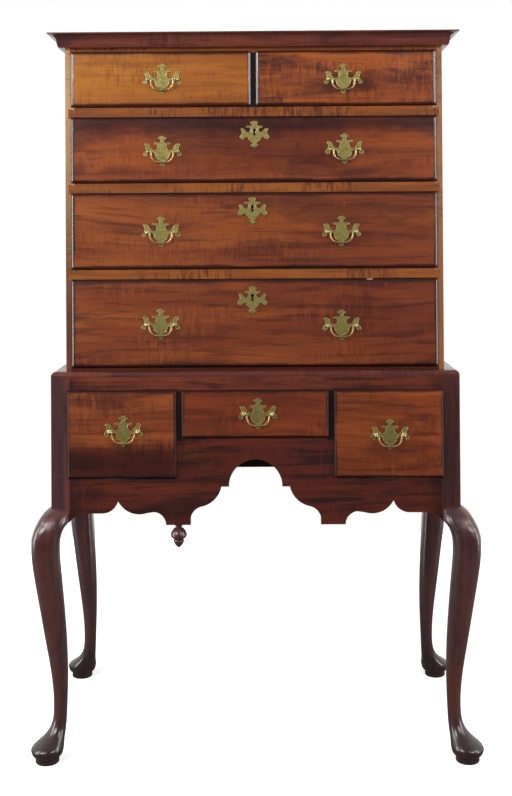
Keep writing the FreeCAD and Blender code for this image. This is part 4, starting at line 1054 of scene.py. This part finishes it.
post = pattern("post_pattern", turned(POST_PROFILE))
nut = pattern("nut_pattern", square_nut())
for seed, name in enumerate(FRONTS):
    body = body_of(name + "_front")
    low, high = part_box(name + "_front")
    spots = [(hinge.x + side * POST_SPACING / 2, hinge.z) for hinge, _ in pulls(name)
             for side in (-1, 1)]
    repeat(name + "_posts", post, rim_brass, [(x, low[1], z) for x, z in spots], body,
           seed=seed)
    repeat(name + "_nuts", nut, field_brass, [(x, high[1], z) for x, z in spots], body,
           turn=0.9, seed=seed)

# %% [markdown]
# Split pegs of hard wood lock the tenons of the lower case; a knife has given them many
# sides, and they stand a hair proud.  Nails with hammered heads hold the back boards and the
# bottoms of the drawers, and iron screws hold the locks.


# %% Pegs and nails
# radius and rise in mm, and the number of sides
PEG, NAIL_HEAD = (4, 0.4, 9), (3.2, 1.1, 7)


def stud(radius, rise, sides):
    """A low dome with a few sides, both ways along Y."""
    return turned([(-rise, radius * 0.35), (-rise * 0.7, radius * 0.8), (0, radius),
                   (rise * 0.7, radius * 0.8), (rise, radius * 0.35)], sides)


def sideways(work):
    """The same piece, turned from the Y axis to the X axis."""
    bmesh.ops.rotate(work, matrix=Matrix.Rotation(math.pi / 2, 3, "Z"), verts=work.verts)
    return work


def wall(columns, heights, depth):
    """Points in rows and columns on a wall that faces the front or the back."""
    return [(x, depth, z) for x in columns for z in heights]


peg = pattern("peg_pattern", stud(*PEG))
side_peg = pattern("side_peg_pattern", sideways(stud(*PEG)))
nail = pattern("nail_pattern", stud(*NAIL_HEAD))

end_low, end_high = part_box("lower_end_board_right")
peg_x = post_inner + 11 * MM
back_heights = (back_low[2] + 40 * MM, back_high[2] - 150 * MM, back_high[2] - 40 * MM)
end_heights = (end_low[2] + 40 * MM, end_low[2] + 160 * MM, end_high[2] - 40 * MM)
repeat("back_pegs", peg, legs, wall((-peg_x, peg_x), back_heights, back_high[1]),
       "lower_case", seed=2)
repeat("end_pegs", side_peg, legs,
       [(side * post_face, way * (end_high[1] + 11 * MM), z) for side in (-1, 1)
        for way in (-1, 1) for z in end_heights], "lower_case", axis=(1, 0, 0), seed=3)

# %% Nails and screws
boards_low, boards_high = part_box("upper_back_boards")
board_height = (boards_high[2] - boards_low[2]) / 3
edge_heights = [boards_low[2] + board_height * row + step for row in range(3)
                for step in (30 * MM, board_height / 2, board_height - 30 * MM)]
columns = [boards_low[0] + (boards_high[0] - boards_low[0]) * part
           for part in (0.12, 0.31, 0.5, 0.69, 0.88)]
repeat("back_nails", nail, iron,
       wall((boards_low[0] + 6 * MM, boards_high[0] - 6 * MM), edge_heights, boards_high[1])
       + wall(columns, (boards_low[2] + 10 * MM, boards_high[2] - 10 * MM), boards_high[1]),
       "upper_case", seed=4)
for seed, name in enumerate(FRONTS):
    low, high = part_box(name + "_box")
    count = 5 if high[0] - low[0] > 0.6 else 3
    columns = [low[0] + (high[0] - low[0]) * (step + 0.5) / count for step in range(count)]
    repeat(name + "_nails", nail, iron, wall(columns, (low[2] + 12 * MM,), high[1]),
           body_of(name + "_box"), seed=seed)
    if name + "_lock" in nodes:
        dress(name + "_lock", iron)
        dress(name + "_lock_bolt", iron)
        low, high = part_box(name + "_lock")
        spots = wall((low[0] + 6 * MM, high[0] - 6 * MM), (low[2] + 7 * MM, high[2] - 30 * MM),
                     high[1])
        repeat(name + "_screws", nail, iron, spots, body_of(name + "_lock"), seed=seed)
for piece in patterns:
    bpy.data.objects.remove(piece)

# %% [markdown]
# ## Floor, room and lamps
#
# Varnish shows what stands around it.  Here that is a studio with pale walls at the sides
# and the back and a dark room behind the camera, so fronts stay deep in colour while round
# edges turn white where they face a wall.  The camera sees a white background, and so does
# what mirrors the walls.  The floor is a disc that keeps the object's shadow and melts into
# that white for the camera.  For other rays it is grey, or the dark legs would look milky.

# %% The floor
FLOOR_RADIUS = 1.9


def disc(name, radius, sides=96):
    """A flat disc on the ground."""
    turns = [math.tau * step / sides for step in range(sides)]
    mesh = bpy.data.meshes.new(name)
    mesh.from_pydata([(radius * math.cos(a), radius * math.sin(a), 0) for a in turns], [],
                     [list(range(sides))])
    sheet = bpy.data.objects.new(name, mesh)
    bpy.context.scene.collection.objects.link(sheet)
    return sheet


material, tree, shader, place = new_material("pale_floor")
seen = tree.nodes.new("ShaderNodeLightPath").outputs["Is Camera Ray"]
plug(tree, shader.inputs["Base Color"],
     add(tree, "ShaderNodeMix", {0: seen, 6: colour("#7c7976"), 7: colour("#f4f3f2")},
         data_type="RGBA"))
shader.inputs["Roughness"].default_value = 0.95
shader.inputs["Specular IOR Level"].default_value = 0.0
shader.inputs["Emission Color"].default_value = colour("#ffffff")
distance = add(tree, "ShaderNodeVectorMath", {0: place}, "Value", operation="LENGTH")
glow = add(tree, "ShaderNodeMapRange",
           {0: distance, 1: FLOOR_RADIUS * 0.5, 2: FLOOR_RADIUS * 0.95, 3: 0.5, 4: 1.0},
           interpolation_type="SMOOTHSTEP")
plug(tree, shader.inputs["Emission Strength"],
     add(tree, "ShaderNodeMath", {0: glow, 1: seen}, operation="MULTIPLY"))
floor = disc("floor", FLOOR_RADIUS)
floor.data.materials.append(material)
print("floor %.1f m across" % (2 * FLOOR_RADIUS))

# %% The room
DIM, PALE = 0.05, 0.80
world = bpy.data.worlds.new("studio")
world.use_nodes = True
tree = world.node_tree
room = tree.nodes["Background"]
direction = tree.nodes.new("ShaderNodeTexCoord").outputs["Generated"]
parts = tree.nodes.new("ShaderNodeSeparateXYZ")
plug(tree, parts.inputs[0], direction)
sideness = add(tree, "ShaderNodeMapRange",
               {0: parts.outputs["Y"], 1: -0.80, 2: -0.10, 3: DIM, 4: PALE},
               interpolation_type="SMOOTHSTEP")
height = add(tree, "ShaderNodeMath", {0: parts.outputs["Z"]}, operation="ABSOLUTE")
level = add(tree, "ShaderNodeMapRange", {0: height, 1: 0.35, 2: 0.85, 3: 1.0, 4: 0.5},
            interpolation_type="SMOOTHSTEP")
plug(tree, room.inputs["Strength"],
     add(tree, "ShaderNodeMath", {0: sideness, 1: level}, operation="MULTIPLY"))
room.inputs["Color"].default_value = colour("#ffffff")
white = add(tree, "ShaderNodeBackground", {"Color": colour("#ffffff"), "Strength": 1.0})
behind = add(tree, "ShaderNodeMapRange", {0: parts.outputs["Y"], 1: -0.1, 2: 0.3},
             interpolation_type="SMOOTHSTEP")
rays = tree.nodes.new("ShaderNodeLightPath").outputs
mirrored = add(tree, "ShaderNodeMath",
               {0: rays["Is Glossy Ray"], 1: rays["Is Transmission Ray"]}, operation="MAXIMUM")
walls = add(tree, "ShaderNodeMath", {0: mirrored, 1: behind}, operation="MULTIPLY")
seen = add(tree, "ShaderNodeMath", {0: rays["Is Camera Ray"], 1: walls}, operation="MAXIMUM")
mixed = add(tree, "ShaderNodeMixShader", {0: seen, 1: room.outputs[0], 2: white})
plug(tree, tree.nodes["World Output"].inputs["Surface"], mixed)
bpy.context.scene.world = world
print("walls at strength %.2f, the room behind the camera at %.2f" % (PALE, DIM))

# %% [markdown]
# Two tall soft boxes at the sides draw the bright lines on the upright edges and on the
# knees.  The main light stands high on the left, so the upper left is a little paler and
# each pull throws its shadow down to the right.


# %% Lamps
def soft_box(name, place, target, width, height, power):
    """An area light that faces a point."""
    data = bpy.data.lights.new(name, "AREA")
    data.shape = "RECTANGLE"
    data.size = width
    data.size_y = height
    data.energy = power
    lamp = bpy.data.objects.new(name, data)
    aim = (Vector(target) - Vector(place)).to_track_quat("-Z", "Y")
    lamp.matrix_world = Matrix.Translation(place) @ aim.to_matrix().to_4x4()
    bpy.context.scene.collection.objects.link(lamp)
    print(name, "%.1f W" % power)


soft_box("left_box", (-2.4, -0.9, 1.2), (0, -0.2, 0.9), 0.6, 2.2, 42)
soft_box("right_box", (2.4, -0.9, 1.2), (0, -0.2, 0.9), 0.5, 2.2, 30)
soft_box("key_box", (-2.0, -3.0, 2.7), (0, 0, 1.0), 1.5, 1.4, 76)
soft_box("fill_box", (2.1, -2.9, 2.5), (0, 0, 0.7), 1.6, 1.4, 46)

# %% [markdown]
# ## The camera
#
# It stands about three metres away and level with the middle drawer, and looks straight on.
# The lens is shifted down, so the uprights stay parallel while the feet are in view.

# %% Camera
SENSOR = 36
FOCAL_PIXELS = 1152.8
TALL = 796
HORIZON_ROW = 216.5
STAND = (0.0251, -3.0206, 1.2692)
YAW, PITCH, ROLL = (math.radians(angle) for angle in (0.420, 0.552, 0.352))
camera_data = bpy.data.cameras.new("camera")
camera_data.sensor_fit = "AUTO"
camera_data.sensor_width = SENSOR
camera_data.lens = SENSOR * FOCAL_PIXELS / TALL
camera_data.shift_y = -(TALL / 2 - HORIZON_ROW) / TALL
camera = bpy.data.objects.new("camera", camera_data)
turn = Matrix.Rotation(YAW, 3, "Z") @ Matrix.Rotation(PITCH, 3, "X") @ Matrix.Rotation(ROLL, 3, "Y")
right, forward, up = (turn @ Vector(v) for v in ((1, 0, 0), (0, 1, 0), (0, 0, 1)))
axes = Matrix((right, up, -forward)).transposed().to_4x4()
camera.matrix_world = Matrix.Translation(STAND) @ axes
bpy.context.scene.collection.objects.link(camera)
bpy.context.scene.camera = camera
bpy.context.scene.view_settings.view_transform = "Standard"
print("lens %.1f mm" % camera_data.lens)
